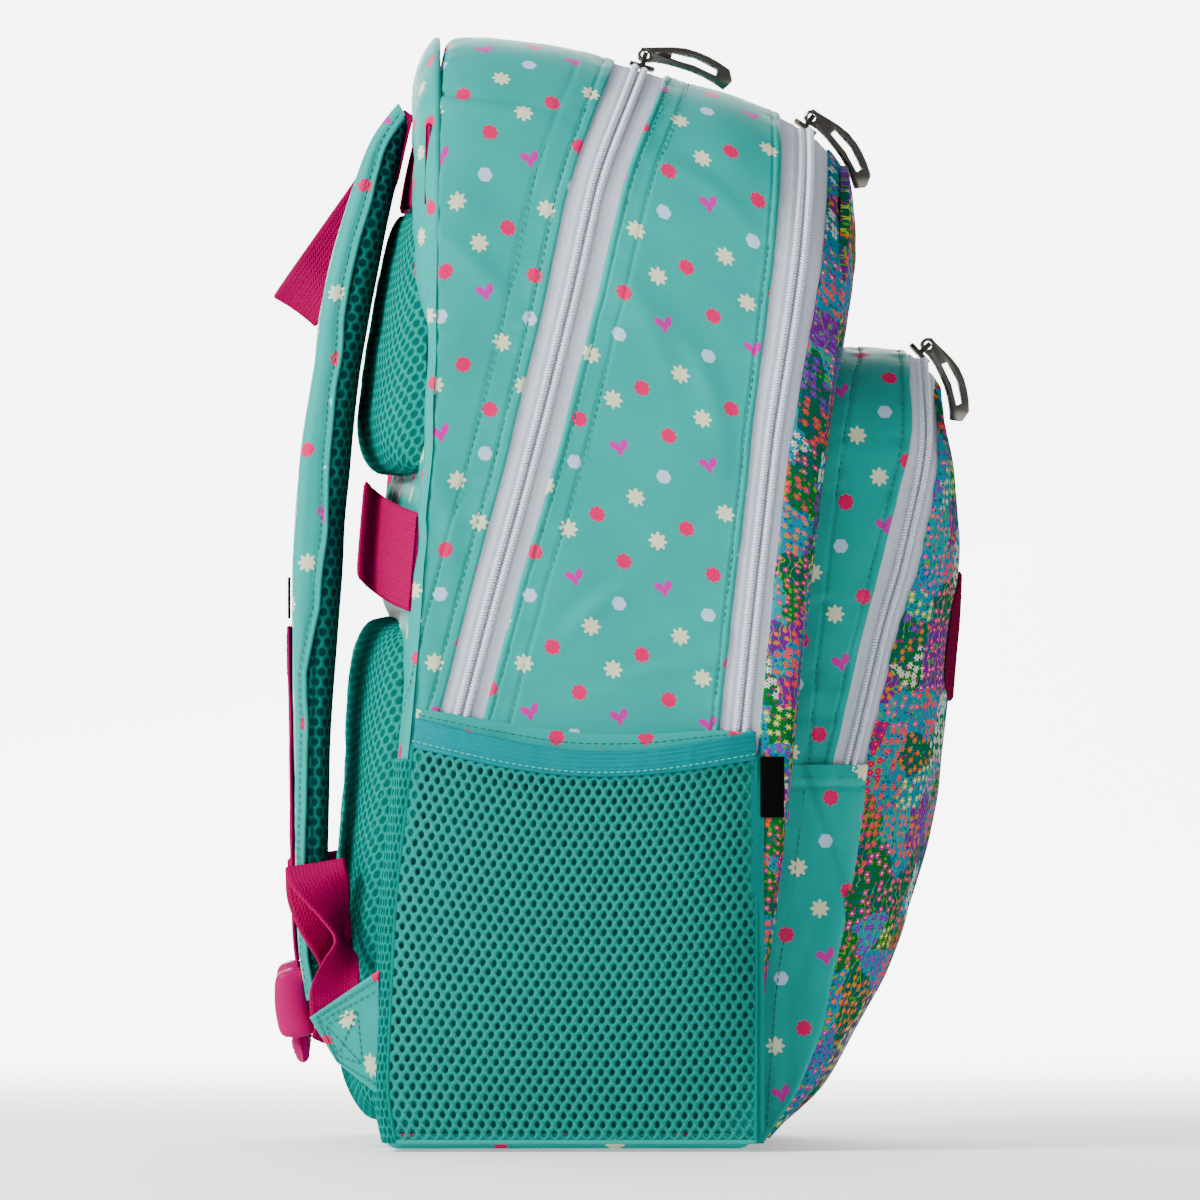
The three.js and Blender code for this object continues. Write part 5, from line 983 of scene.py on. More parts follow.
def pad(name, x0, x1, z0, z1, T, replaces, channels, seed):
    n, m = int((z1 - z0) / 1.7), int((x1 - x0) / 1.7)
    # outline with round corners, edge rows turned down to the panel
    u = np.linspace(-1, 1, n)[:, None]; v = np.linspace(-1, 1, m)[None, :]
    us, vs = np.sin(u * math.pi / 2) * 0.35 + u * 0.65, np.sin(v * math.pi / 2) * 0.35 + v * 0.65
    cx, cz, hx, hz = (x0 + x1) / 2, (z0 + z1) / 2, (x1 - x0) / 2, (z1 - z0) / 2
    R = 16.0
    # squircle map
    x = cx + hx * vs * np.sqrt(np.clip(1 - 0.16 * us ** 6, 0, 1)); z = cz + hz * us * np.sqrt(np.clip(1 - 0.16 * vs ** 6, 0, 1))
    p, q = np.abs(vs), np.abs(us)
    dome = np.sqrt(np.clip((1 - p ** 5) * (1 - q ** 5), 0, 1)) + 0 * x
    h = 1.0 + 2.4 * np.clip(dome * 3, 0, 1) + curve_t(T, z) * dome
    V = np.stack([x, back_surface(x, z) + h, z], -1)
    B = np.stack([x, back_surface(x, z) + 1.0 + 0 * h, z], -1)
    # arc lengths for the UVs, so that the mesh keeps its size down the sides
    du = np.concatenate([np.zeros((n, 1)), np.cumsum(np.linalg.norm(np.diff(V, axis=1), axis=2), axis=1)], 1)
    dv = np.concatenate([np.zeros((1, m)), np.cumsum(np.linalg.norm(np.diff(V, axis=0), axis=2), axis=0)], 0)
    U = np.stack([du, dv], -1)
    F = outward(V, grid_faces(n, m), (cx, 40, cz))
    Vf = np.concatenate([V.reshape(-1, 3), B.reshape(-1, 3)])
    Uf = np.concatenate([U.reshape(-1, 2), U.reshape(-1, 2)])
    G = (F + n * m)[:, ::-1]
    faces = F.tolist() + G.tolist()
    ob = build(name, Vf, faces, Uf, (M_SPACER,), "bag", replaces)
    me = ob.data
    import bmesh
    bm = bmesh.new(); bm.from_mesh(me)
    border = [e for e in bm.edges if e.is_boundary]
    bmesh.ops.bridge_loops(bm, edges=border)
    bmesh.ops.recalc_face_normals(bm, faces=bm.faces)
    for f in bm.faces: f.smooth = True
    bm.to_mesh(me); bm.free()
    rest = np.array([c.co for c in me.vertices])
    inflate(ob, rest)
    # sunk channels and wrinkles after the filling has settled
    co = np.array([c.co for c in me.vertices]); mm = co * 1000
    top = np.zeros(len(co)); top[:n * m] = 1
    edge = np.minimum(hx - np.abs(mm[:, 0] - cx), hz - np.abs(mm[:, 2] - cz))
    w = top * np.clip(edge / 9.0, 0, 1)
    dy = np.zeros(len(co))
    for (kind, c) in channels:
        d = np.abs(mm[:, 0] - c) if kind == "x" else np.abs(mm[:, 2] - c)
        dy -= 2.8 * np.exp(-(d / 3.2) ** 2) * np.clip((edge - 12) / 26, 0, 1)
    P = mm[:, [0, 2]]
    dy += 0.5 * vnoise(P, np.array([22.0, 15.0]), seed) + 0.25 * vnoise(P, np.array([8.0, 6.0]), seed + 1)
    co[:, 1] += dy * w * 0.001
    me.vertices.foreach_set("co", co.astype(np.float32).ravel()); me.update()
    return ob

def inflate(ob, rest, cap=0.004):
    """A short inflation of the pad as cloth under pressure, with its seam line pinned, capped so that it stays near its pattern."""
    me = ob.data
    src = ob.copy(); src.data = me.copy(); bpy.context.collection.objects.link(src); src.parent = None
    for k in [k for k in src.keys() if k.startswith("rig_")]: del src[k]
    base = np.array([c.co for c in src.data.vertices])
    vg = src.vertex_groups.new(name="pin")
    h = base[:, 1] * 1000 - DY - back_surface(base[:, 0] * 1000, base[:, 2] * 1000)
    vg.add([int(i) for i in np.nonzero(h < 3.0)[0]], 1.0, "REPLACE")
    md = src.modifiers.new("cloth", "CLOTH"); st = md.settings
    st.use_pressure = True; st.uniform_pressure_force = 4.0; st.vertex_group_mass = "pin"; st.quality = 6
    st.tension_stiffness = 25; st.compression_stiffness = 25; st.bending_stiffness = 2.0
    st.effector_weights.gravity = 0; md.collision_settings.use_collision = False; md.collision_settings.use_self_collision = False
    md.point_cache.frame_start, md.point_cache.frame_end = 1, 14
    sc = bpy.context.scene
    for f in range(1, 15):
        sc.frame_set(f); bpy.context.view_layer.update()
    ev = src.evaluated_get(bpy.context.evaluated_depsgraph_get())
    out = np.array([c.co for c in ev.data.vertices])
    sc.frame_set(1)
    bpy.data.objects.remove(src)
    if out.shape == rest.shape and np.isfinite(out).all():
        d = out - rest; L = np.linalg.norm(d, axis=1, keepdims=True)
        d = d * np.minimum(1, cap / np.maximum(L, 1e-9))
        me.vertices.foreach_set("co", (rest + d).astype(np.float32).ravel()); me.update()

pad("upper_pad_foam_left", -134, -9, 266, 370.5, UPPER_PAD_T, ("upper_pad_left",), [("x", -71)], 101)
pad("upper_pad_foam_right", 9, 134, 266, 370.5, UPPER_PAD_T, ("upper_pad_right",), [("x", 71)], 102)
pad("lumbar_pad_foam", -128, 128, 9, 210, LUMBAR_T, ("lumbar_pad",), [("x", -44), ("x", 44)], 103)

# ----------------------------------------------------------------------------- webbing across the back
def back_band(name, half, zf, off, replaces, width):
    n, m = 260, 22
    v = np.linspace(-1, 1, n)[:, None]; u = np.linspace(-1, 1, m)[None, :]
    x = half * v * (1 - 0.0 * u); z = zf(v) + width / 2 * u
    y = back_surface(x, z) + off(v) + 0.8
    P = np.stack(np.broadcast_arrays(x, z), -1)
    y = y + 0.3 * vnoise(P, np.array([16.0, 40.0]), 111)
    V = np.stack(np.broadcast_arrays(x, y, z), -1)
    tn = np.gradient(V, axis=0); tm = np.gradient(V, axis=1); N = np.cross(tm, tn); N /= np.linalg.norm(N, axis=2, keepdims=True)
    N *= np.sign(np.sum(N * np.array([0, 1, 0]), axis=2, keepdims=True))
    return closed_strip(name, V, N, 1.6, mats=(M_WEB,), replaces=replaces, u_len=2 * half, v_len=width)
back_band("trolley_band_webbing", 145.0, lambda v: 231.5 + 13 * (1 - v * v), lambda v: 2 + 8.6 * (1 - v ** 6), ("trolley_band",), 39.0)
back_band("anchor_band_webbing", 145.5, lambda v: 388.4 + 0 * v, lambda v: 3.2 + 0 * v, ("anchor_band",), 33.0)

# ----------------------------------------------------------------------------- shoulder straps
STRAP = np.array([
    [88.8, 414, 84.6, 406.4, 62, 26], [100.5, 398.7, 88, 390.5, 64, 28], [108.7, 376.7, 92, 373, 67, 30], [115, 354.6, 96.5, 350, 70, 31],
    [119.8, 332.1, 100.4, 330, 73, 32], [122.6, 310, 103.8, 309, 75, 32], [126.1, 288, 106.2, 287.5, 77, 32], [128.8, 266, 108.2, 266, 79, 32],
    [130.2, 247, 110, 247, 81, 31], [131, 222, 111.4, 222, 83, 31], [131, 196, 113.4, 196, 84, 30], [130.4, 169, 115.4, 169, 86, 29],
    [130, 140, 116.4, 140, 87, 29], [129.8, 110, 116.9, 110, 88, 28], [128.6, 80, 117.4, 80, 89, 27], [125.4, 58, 119.8, 60, 90, 22.0]])

def strap(sd, tag):
    n = 420
    R = catmull(STRAP, np.linspace(0, 15, n))
    rear, fore, xc, hw = R[:, 0:2], R[:, 2:4], R[:, 4], R[:, 5]
    T = np.linalg.norm(rear - fore, axis=1); d = (rear - fore) / T[:, None]
    L = np.concatenate([[0], np.cumsum(np.linalg.norm(np.diff(rear, axis=0), axis=1))])
    # cloth face, turned over both long edges down to the binding
    m = 92; v = np.linspace(-1, 1, m)[None, :]
    W = (hw + 0.9)[:, None]
    wrap_d = np.interp(rear[:, 1], [56, 70, 120, 188, 214, 245, 300, 390, 415], [3.0, 3.2, 3.6, 5.0, 10.5, 12.5, 10.0, 8.0, 5.0])[:, None]
    wrap_d = np.minimum(wrap_d + 0.5 * vnoise(np.stack([L, 0 * L], -1), 15.0, 120)[:, None], T[:, None] - 1.6)
    rc = np.minimum(4.6, wrap_d * 0.85)
    flat, quarter = W - rc, rc * math.pi / 2
    total = flat + quarter + (wrap_d - rc)
    a_ = np.abs(v) * total
    th_ = np.clip((a_ - flat) / quarter, 0, 1) * math.pi / 2
    xx = np.sign(v) * (np.minimum(a_, flat) + rc * np.sin(th_))
    dep = rc * (1 - np.cos(th_)) + np.clip(a_ - flat - quarter, 0, None) + 0.3
    P = np.stack(np.broadcast_arrays(L[:, None], a_ * np.sign(v)), -1)
    side = np.clip((a_ - flat) / quarter, 0, 1)
    wob = 0.45 * vnoise(P, np.array([24.0, 13.0]), 121) + 0.3 * vnoise(P, np.array([6.0, 16.0]), 122) * np.exp(-((total - a_) / 6) ** 2)
    groove = 0.6 * np.exp(-((total - a_ - 2.2) / 0.8) ** 2)
    dep = dep - wob * (1 - side) ; xx = xx + np.sign(v) * (wob - groove) * side
    X = sd * (xc[:, None] + xx)
    V = np.stack([X, rear[:, 0:1] - d[:, 0:1] * dep, rear[:, 1:2] - d[:, 1:2] * dep], -1)
    U = np.stack([a_ * np.sign(v) * sd + 5, -np.broadcast_to(L[:, None], xx.shape)], -1)
    body = "shoulder_strap_" + tag
    c = np.stack([sd * xc, fore[:, 0], fore[:, 1]], 1)
    F = grid_faces(n, m); Vf = V.reshape(-1, 3); a, b, q = Vf[F[:, 0]], Vf[F[:, 1]], Vf[F[:, 2]]
    if np.sum(np.cross(b - a, q - a) * (a - c[F[:, 0] // m])) < 0: F = F[:, ::-1]
    build("strap_cloth_" + tag, V, F, U, (M_MINT,), body, ("strap_face_" + tag,))
    parts = []
    for s2 in (-1, 1):
        dp = wrap_d[:, 0] - 2.1
        pts = np.stack([sd * (xc + s2 * (hw + 0.75)), rear[:, 0] - d[:, 0] * dp, rear[:, 1] - d[:, 1] * dp], 1)
        parts.append(polyline_stitches(pts[6:-4], np.stack([0 * xc + sd * s2, 0 * xc, 0 * xc], 1)[6:-4]))
    a, b, q = join_parts(parts)
    build("strap_cloth_stitching_" + tag, a, b, q, (M_THREAD,), body, ())
    # foam body under spacer mesh: a rounded section from the cloth's edge round the inner side
    m = 84; th = np.linspace(0, 2 * math.pi, m, endpoint=False)
    def ring(i):
        hw_, T_ = hw[i], T[i]
        cy = (T_ + 2.0) / 2; ry = (T_ - 2.0) / 2
        ex = 0.5
        cx_, sy_ = np.cos(th), np.sin(th)
        x = np.sign(cx_) * np.abs(cx_) ** 0.42 * hw_; dp = cy + np.sign(sy_) * np.abs(sy_) ** 0.62 * ry
        return x, dp
    xs, dps = zip(*[ring(i) for i in range(n)]); xs, dps = np.array(xs), np.array(dps)
    taper = np.clip(np.minimum(np.arange(n), n - 1 - np.arange(n)) / 6.0, 0.25, 1)[:, None] ** 0.5
    cyc = ((T + 2.0) / 2)[:, None]
    dps = cyc + (dps - cyc) * taper
    P = np.stack([np.broadcast_to(L[:, None], xs.shape), np.broadcast_to(th[None, :] * 12, xs.shape)], -1)
    wob = 0.45 * vnoise(P, np.array([19.0, 14.0]), 123)
    xs = xs + wob * np.sign(xs); dps = dps + wob * 0.5 * np.sign(dps - cyc)
    V = np.stack([sd * (xc[:, None] + xs), rear[:, 0:1] - d[:, 0:1] * dps, rear[:, 1:2] - d[:, 1:2] * dps], -1)
    per = np.concatenate([np.zeros((n, 1)), np.cumsum(np.linalg.norm(np.diff(np.stack([xs, dps], -1), axis=1), axis=2), axis=1)], 1)
    U = np.stack([per, np.broadcast_to(L[:, None], per.shape)], -1)
    F = grid_faces(n, m, wrap_v=True); Vf = V.reshape(-1, 3); a, b, q = Vf[F[:, 0]], Vf[F[:, 1]], Vf[F[:, 2]]
    cc = V.mean(axis=1)
    if np.sum(np.cross(b - a, q - a) * (a - cc[F[:, 0] // m])) < 0: F = F[:, ::-1]
    faces = F.tolist() + [list(range(m)), [(n - 1) * m + i for i in range(m)][::-1]]
    # the strap's mesh takes the darker copy, painted shade
    ob = build("strap_foam_" + tag, Vf, faces, U, (M_SPACER_STRAP_SHADED,), body, ("strap_pad_" + tag,))
    # bound edge between cloth and mesh, one on each side
    for s2, nm in ((-1, "in"), (1, "out")):
        c = np.stack([sd * (xc + s2 * (hw + 0.5)), rear[:, 0] - d[:, 0] * (wrap_d[:, 0] + 0.3), rear[:, 1] - d[:, 1] * (wrap_d[:, 0] + 0.3)], 1)
        tube("strap_edge_" + nm + "_" + tag, c[4:-3], 0.9, M_MINT_EDGE, body, 8)
    # webbing down the lower half
    zt = np.linspace(206, 71.0, 200); i = np.interp(-zt, -rear[:, 1], np.arange(n)); ii = np.clip(np.round(i).astype(int), 0, n - 1)
    yc = np.interp(-zt, -rear[:, 1], rear[:, 0]) + 1.15; xcc = sd * np.interp(-zt, -rear[:, 1], xc)
    u = np.linspace(-1, 1, 24)[None, :]
    M = np.stack(np.broadcast_arrays(xcc[:, None] + 12.5 * u, yc[:, None] + 0.2 * vnoise(np.stack(np.broadcast_arrays(zt[:, None], u * 12), -1), 14.0, 124), zt[:, None]), -1)
    N = np.zeros_like(M); N[..., 1] = 1.0
    closed_strip("strap_webbing_woven_" + tag, M, N, 1.6, mats=(M_WEB,), body=body, replaces=("strap_webbing_" + tag,), u_len=135, v_len=25)
    parts = []
    for x0, z0, x1, z1 in ((-10, 203, 10, 203), (-10, 187, 10, 187), (-10, 203, -10, 187), (10, 203, 10, 187), (-10, 203, 10, 187), (10, 203, -10, 187)):
        k = np.linspace(0, 1, 14); zz = z0 + (z1 - z0) * k; x = np.interp(-zz, -zt, xcc) + x0 + (x1 - x0) * k
        parts.append(polyline_stitches(np.stack([x, np.interp(-zz, -zt, yc) + 0.85, zz], 1), np.tile([0, 1, 0], (14, 1)), pitch=2.4, length=1.8))
    a, b, q = join_parts(parts)
    build("strap_webbing_box_stitch_" + tag, a, b, q, (M_WEB,), body, ())
for sd, tag in ((-1, "left"), (1, "right")): strap(sd, tag)

# ----------------------------------------------------------------------------- wing tabs and adjuster webbing
def wing(sd, tag):
    A, B, C, D = [np.array(p, float) for p in ((124.0, 52.2), (96.5, 71.0), (96.5, 21.5), (113.4, 34.6))]
    n, m = 60, 70
    u = np.linspace(0, 1, n)[:, None, None]; v = np.linspace(0, 1, m)[None, :, None]
    # u: from the side seam outwards, v: down
    inner = B + (C - B) * v; outer = A + (D - A) * v
    Q = inner + (outer - inner) * u
    y, z = Q[..., 0], Q[..., 1]
    P = np.stack([y, z], -1)
    e = np.minimum(np.minimum(v[..., 0], 1 - v[..., 0]) * 34 + 0 * y, (1 - u[..., 0]) * 26 + 0 * y)
    x = 146.3 + 0.5 * vnoise(P, 13.0, 131) + 1.2 * (1 - u[..., 0]) + 0.5 * np.exp(-(e / 3.0) ** 2) - 0.4 * np.exp(-((e - 3.0) / 0.7) ** 2)
    M = np.stack([sd * x, y, z], -1)
    N = np.zeros_like(M); N[..., 0] = sd
    closed_strip("wing_tab_cloth_" + tag, M, N, 2.4, mats=(M_MINT,), replaces=("wing_tab_" + tag,), u_len=26, v_len=34, round_edge=1.2)
    parts = []
    def seg(p, q, off=1.45):
        k = np.linspace(0, 1, 20)[:, None]; w = np.array(p) + (np.array(q) - np.array(p)) * k
        xx = 146.3 + 0.5 * vnoise(w, 13.0, 131) + 1.2 * np.clip((124 - w[:, 0]) / 27, 0, 1) * 0.8 + off
        return polyline_stitches(np.stack([sd * xx, w[:, 0], w[:, 1]], 1), np.tile([sd, 0, 0], (20, 1)), pitch=2.6, length=1.9)
    def at(a, b): return B + (C - B) * b + ((A + (D - A) * b) - (B + (C - B) * b)) * a
    for p, q in ((at(0.05, 0.07), at(0.95, 0.07)), (at(0.05, 0.16), at(0.93, 0.16)), (at(0.05, 0.93), at(0.93, 0.93)), (at(0.93, 0.1), at(0.93, 0.9)),
                 (at(0.35, 0.25), at(0.86, 0.8)), (at(0.86, 0.25), at(0.35, 0.8)), (at(0.35, 0.25), at(0.35, 0.8)), (at(0.35, 0.25), at(0.86, 0.25)), (at(0.35, 0.8), at(0.86, 0.8)), (at(0.86, 0.25), at(0.86, 0.8))):
        parts.append(seg(p, q))
    a, b, q = join_parts(parts)
    build("wing_tab_stitching_" + tag, a, b, q, (M_THREAD,), "bag", ())
    ST = [(-145.6, 113.9, 58.6, 0, -0.81, 0.585), (-144.6, 114.2, 68, .3, -.8, .5), (-141.5, 112.9, 76, .8, -.5, .2), (-137.5, 112.3, 83, 1.0, -.12, .05), (-133.5, 114.0, 91, .9, -.42, .04),
          (-130.6, 117.4, 99, .62, -.78, .05), (-128.2, 120.6, 107, .12, -1, .13), (-126, 121.6, 111.0, 0, -1, .16), (-122.8, 121.8, 112.4, 0, -1, .16), (-120.4, 121.7, 109.4, 0, -1, .16),
          (-119.8, 121.0, 99, .1, -1, .05), (-120.5, 117.8, 86, .5, -.85, 0), (-121, 114.2, 73, .85, -.5, 0), (-119, 113.2, 60, .8, -.5, .1), (-113, 115.2, 50, .8, -.5, .1), (-104, 120.4, 42.4, .9, -.2, -.1)]
    S = np.array(ST); S[:, 3:] /= np.linalg.norm(S[:, 3:], axis=1, keepdims=True)
    k = np.linspace(0, len(S) - 1, 260); R = catmull(S, k)
    C_, Wd = R[:, :3], R[:, 3:] / np.linalg.norm(R[:, 3:], axis=1, keepdims=True)
    C_[:, 0] *= -sd; Wd[:, 0] *= -sd
    T = np.gradient(C_, axis=0); N = np.cross(T, Wd); N /= np.linalg.norm(N, axis=1, keepdims=True)
    u = np.linspace(-12, 12, 26)[None, :, None]
    cup = 0.35 * (1 - (u / 12) ** 2)
    M = C_[:, None, :] + Wd[:, None, :] * u + N[:, None, :] * cup
    ob = closed_strip("adjuster_webbing_woven_" + tag, M, np.broadcast_to(N[:, None, :], M.shape), 1.6, mats=(M_WEB,), body=None,
                      replaces=("adjuster_webbing_" + tag,), u_len=float(np.sum(np.linalg.norm(np.diff(C_, axis=0), axis=1))), v_len=24)
    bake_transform(ob)
for sd, tag in ((-1, "left"), (1, "right")): wing(sd, tag)

# ----------------------------------------------------------------------------- carry handle
def handle():
    d = np.array([0, 0.577, -0.817]); w = np.array([0, 0.817, 0.577]); up = np.array([0, 82.6, 417.8])
    limb = np.concatenate([np.linspace(6.5, 78, 90)])
    xo = np.interp(limb, [8, 45], [25, 29])
    ang = np.linspace(math.pi, 0, 70)[1:-1]
    px = np.concatenate([-xo, np.cos(ang) * 29, xo[::-1]]); pl = np.concatenate([limb, 78 + np.sin(ang) * 19, limb[::-1]])
    wid = np.interp(pl, [8, 18, 30, 45, 60], [5, 9, 14, 18, 21.0])
    n = len(px)
    c = np.stack([px, 0 * px, 0 * px], 1) + up + d * pl[:, None]
    T = np.gradient(c, axis=0); T /= np.linalg.norm(T, axis=1, keepdims=True)
    N = np.cross(T, w); N /= np.linalg.norm(N, axis=1, keepdims=True)
    k = np.linspace(0, 1, 30)[None, :, None]
    sag = 0.7 * np.sin(k * math.pi) * (1 if True else 0)
    M = c[:, None, :] - w * (wid[:, None, None] * k) + N[:, None, :] * sag
    L = float(np.sum(np.linalg.norm(np.diff(c, axis=0), axis=1)))
    closed_strip("carry_handle_woven", M, np.broadcast_to(N[:, None, :], M.shape), 1.8, mats=(M_WEB,), body="carry_handle", replaces=("carry_handle",), u_len=L, v_len=21)
handle()

# ----------------------------------------------------------------------------- moulded locks, sliders and pulls
def keep(node, mat, bevel=0.0, seg=2, slot=None, name=None):
    """A finer copy of a CAD piece: same shape with rounded edges."""
    src = frame["nodes"][node]
    ob = src.copy(); ob.data = src.data.copy(); ob.name = name or node + "_moulded"; ob.parent = None
    for k in [k for k in ob.keys() if k.startswith("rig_")]: del ob[k]
    bpy.context.collection.objects.link(ob)
    import bmesh
    bm = bmesh.new(); bm.from_mesh(ob.data)
    bmesh.ops.remove_doubles(bm, verts=bm.verts, dist=1e-6)
    bmesh.ops.dissolve_limit(bm, angle_limit=math.radians(1.0), verts=bm.verts, edges=bm.edges)
    if bevel:
        es = [e for e in bm.edges if len(e.link_faces) == 2 and e.calc_face_angle(0) > math.radians(14)]
        bmesh.ops.bevel(bm, geom=es, offset=bevel * 0.001, segments=seg, affect="EDGES", clamp_overlap=True, profile=0.5)
    bmesh.ops.triangulate(bm, faces=bm.faces)
    for f in bm.faces: f.smooth = True
    bm.to_mesh(ob.data); bm.free()
    ob.data.materials.clear(); ob.data.materials.append(mat)
    try: ob.data.set_sharp_from_angle(angle=math.radians(38))
    except Exception: pass
    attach(ob, src["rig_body"]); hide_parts(node)
    return ob

def lock(sd, tag):
    """Ladder lock: a domed frame with two bars and a thumb lip, in the plane of the CAD plate."""
    rx = math.pi / 2 - 0.13
    o = np.array([sd * 90, 130.9, 66.0])
    ax, ay, az = np.array([1.0, 0, 0]), np.array([0, math.cos(rx), math.sin(rx)]), np.array([0, -math.sin(rx), math.cos(rx)])
    # outline in local x, y; walls lofted round the two windows by thick rounded bars
    parts = []
    def bar(p, q, r0, r1, flat=0.62, bow=0.0, n=26, seg=16):
        k = np.linspace(0, 1, n)[:, None]; c = np.array(p) + (np.array(q) - np.array(p)) * k
        r = r0 + (r1 - r0) * k[:, 0]
        T = np.array(q) - np.array(p); T = T / np.linalg.norm(T); S = np.array([-T[1], T[0]])
        ang = np.arange(seg) / seg * 2 * math.pi
        cap = np.sqrt(np.clip(1 - (2 * k[:, 0] - 1) ** 10, 0.0, 1))
        lx = c[:, None, :] + S[None, None, :] * (np.cos(ang)[None, :, None] * (r * cap)[:, None, None])
        lz = np.sin(ang)[None, :] * (r * cap)[:, None] * flat + bow * np.sin(math.pi * k)
        W3 = o + ax * lx[..., 0:1] + ay * lx[..., 1:2] + az * lz[..., None]
        F = grid_faces(n, seg, wrap_v=True)
        F = outward_tube(W3, F, W3.mean(axis=1), seg)
        faces = F.tolist() + [list(range(seg)), [(n - 1) * seg + i for i in range(seg)][::-1]]
        parts.append((W3.reshape(-1, 3), faces, np.zeros((n * seg, 2))))
    bar((-14.6, 4.6), (-15.2, -23), 3.0, 3.6, 2.0, -1.6); bar((14.6, 4.6), (15.2, -23), 3.0, 3.6, 2.0, -1.6)
    bar((-14, 1.0), (14, 1.0), 2.2, 2.2, 0.85); bar((-14, -7.5), (14, -7.5), 2.3, 2.3, 0.8); bar((-15, -18.4), (15, -18.4), 2.8, 2.8, 1.3)
    # thumb lip
    n, m = 30, 40
    u = np.linspace(0, 1, n)[:, None]; v = np.linspace(-1, 1, m)[None, :]
    ly = -17.5 - 15.5 * u; half = 15.6 - 4.6 * u ** 1.5
    lx = half * v + 0 * u
    th = (2.4 + 1.4 * np.sin(np.clip(u, 0, 1) * math.pi) ** 2) * np.sqrt(np.clip(1 - v ** 8, 0, 1)) * np.sqrt(np.clip(1 - np.clip((u - 0.86) / 0.14, 0, 1) ** 2, 0.02, 1))
    th = th - 0.35 * (np.sin(u * math.pi * 7) ** 8) * (np.abs(v) < 0.75)
    mid = 0.3 * u
    top = o + ax * lx[..., None] + ay * (ly + 0 * lx)[..., None] + az * (mid + th)[..., None]
    bot = o + ax * lx[..., None] + ay * (ly + 0 * lx)[..., None] + az * (mid - th)[..., None]
    V = np.concatenate([top, bot[:, ::-1]], axis=1); F = grid_faces(n, 2 * m, wrap_v=True)
    F = outward_tube(V, F, V.mean(axis=1), 2 * m)
    faces = F.tolist() + [list(range(2 * m)), [(n - 1) * 2 * m + i for i in range(2 * m)][::-1]]
    parts.append((V.reshape(-1, 3), faces, np.zeros((V.shape[0] * V.shape[1], 2))))
    V, F, U, off = [], [], [], 0
    for a, f, u_ in parts:
        V.append(a); U.append(u_); F.extend([[i + off for i in q] for q in f]); off += len(a)
    build("ladder_lock_moulded_" + tag, np.concatenate(V), F, np.concatenate(U), (M_LOCK,), "ladder_lock_" + tag, ("ladder_lock_" + tag,))
for sd, tag in ((-1, "left"), (1, "right")): lock(sd, tag)

for z in ("rear", "front", "pocket"):
    for tag in ("left", "right"):
        keep(z + "_zip_slider_" + tag, M_METAL_D, 0.45, 3, "zip_metal")
        keep(z + "_zip_pull_" + tag, M_METAL, 0.55, 3, "zip_metal")
keep("side_label", M_BLACK, 0.3, 2, "label")
keep("strap_label", M_BLACK, 0.3, 2, "label")

# inner pieces keep their CAD shape and take a finish
for node, mat in (("divider_panel", M_LINING), ("back_stiffener", M_BOARD), ("base_stiffener", M_BOARD)):
    o = frame["nodes"][node]; o.data.materials.clear(); o.data.materials.append(mat)
    uvl = o.data.uv_layers.new(name="UVMap")
    for lp, uvd in zip(o.data.loops, uvl.data):
        c = o.data.vertices[lp.vertex_index].co; uvd.uv = (c.x * 1000, c.z * 1000 + c.y * 400)

# ----------------------------------------------------------------------------- stage and light
m_floor, nt, b = material("glowing_pale_floor"); nb = NB(nt)
pos = nt.nodes.new("ShaderNodeNewGeometry").outputs["Position"]
sep = nt.nodes.new("ShaderNodeSeparateXYZ"); nt.links.new(pos, sep.inputs[0])
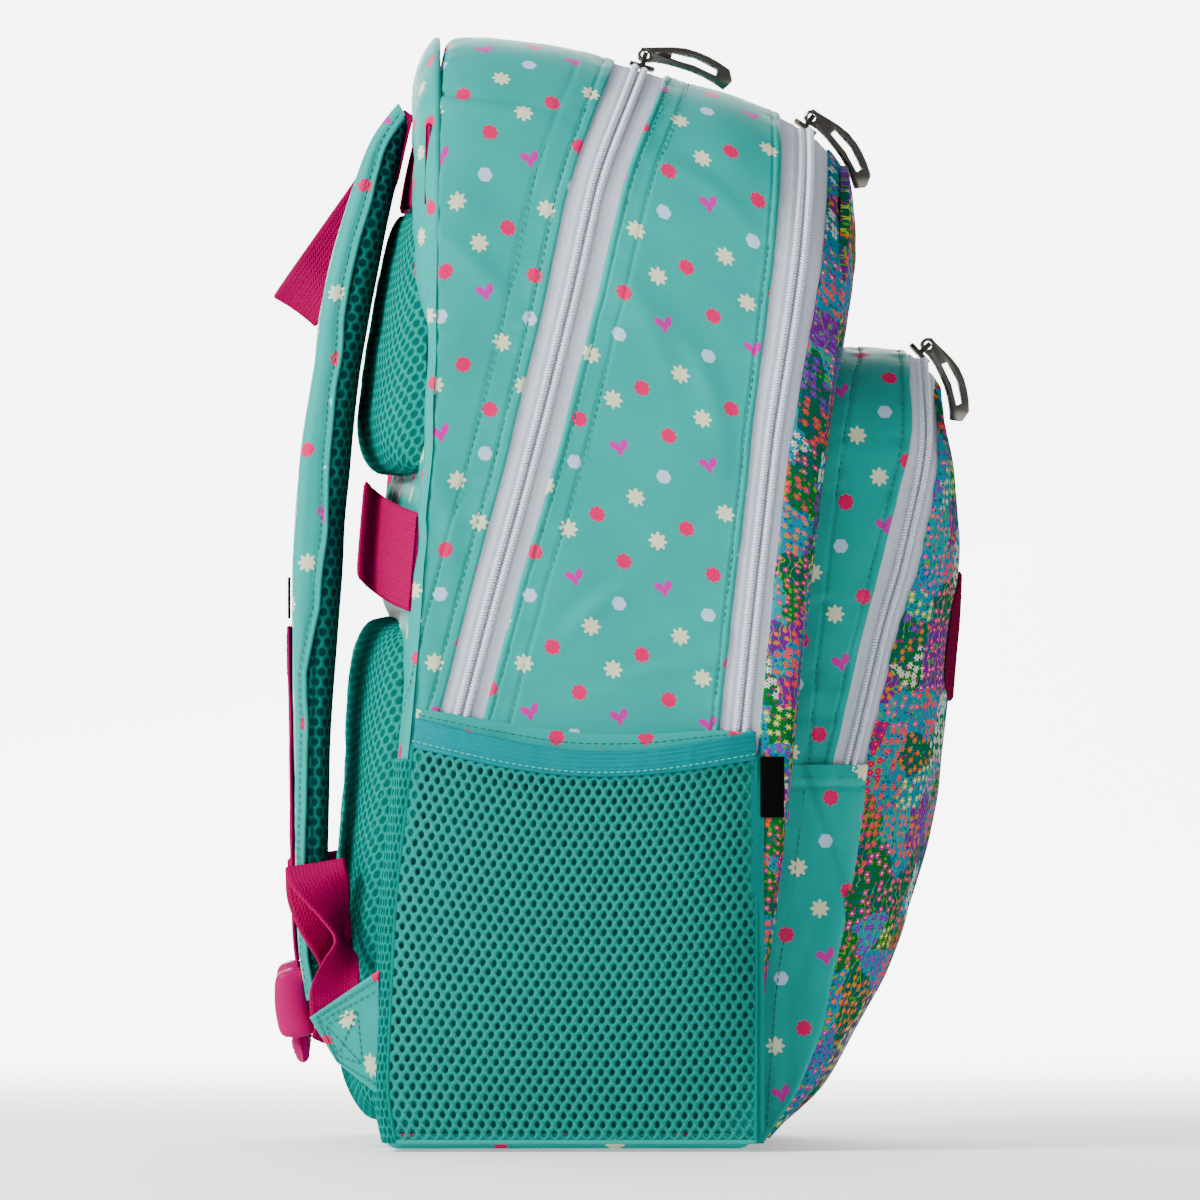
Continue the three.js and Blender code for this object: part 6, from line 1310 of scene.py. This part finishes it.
# painted light: the floor and backdrop glow, from 0.42 near the bag up to 5.0 behind it
glow = nt.nodes.new("ShaderNodeMapRange"); glow.interpolation_type = "SMOOTHSTEP"
nt.links.new(sep.outputs[0], glow.inputs[0]); glow.inputs[1].default_value = 0.3; glow.inputs[2].default_value = 1.9
glow.inputs[3].default_value = 0.42; glow.inputs[4].default_value = 5.0
b.inputs["Base Color"].default_value = (0.92, 0.92, 0.92, 1); b.inputs["Roughness"].default_value = 0.8
b.inputs["Emission Color"].default_value = (1, 1, 1, 1); nt.links.new(glow.outputs[0], b.inputs["Emission Strength"])
prof = [(-6.0, -0.0008), (1.6, -0.0008)] + [(1.6 + 0.8 * math.sin(a), 0.8 - 0.8 * math.cos(a) - 0.0008) for a in np.linspace(0, math.pi / 2, 24)[1:]] + [(2.4, 3.0)]
me = bpy.data.meshes.new("floor"); vs = [(x, y, z) for x, z in prof for y in (-1.4, 1.4)]
me.from_pydata(vs, [], [(2 * i, 2 * i + 2, 2 * i + 3, 2 * i + 1) for i in range(len(prof) - 1)])
for p in me.polygons: p.use_smooth = True
me.materials.append(m_floor); floor = bpy.data.objects.new("floor", me); bpy.context.collection.objects.link(floor)

def area(name, loc, target, size, power, rgb=(1, 1, 1)):
    L = bpy.data.lights.new(name, "AREA"); L.shape = "RECTANGLE"; L.size, L.size_y = size; L.energy = power; L.color = rgb
    ob = bpy.data.objects.new(name, L); bpy.context.collection.objects.link(ob); ob.location = loc; look_at(ob, target); return ob
area("key", (-0.85, 1.3, 1.2), (0, 0, 0.22), (0.6, 0.6), 52)
area("fill_rear", (-1.3, 1.3, 0.7), (0, 0, 0.22), (1.2, 1.4), 13)
area("fill_front", (-0.9, -1.7, 0.6), (0, 0, 0.22), (1.0, 1.4), 6)
area("top", (0.3, 0.1, 1.9), (0, 0, 0.3), (1.6, 1.6), 9)
area("far_side", (1.8, 0.4, 0.9), (0, 0, 0.25), (1.4, 1.4), 14)
world = bpy.data.worlds.new("studio"); bpy.context.scene.world = world; world.use_nodes = True
bg = world.node_tree.nodes.get("Background") or world.node_tree.nodes.new("ShaderNodeBackground")
bg.inputs[0].default_value = (1, 1, 1, 1); bg.inputs[1].default_value = 0.22
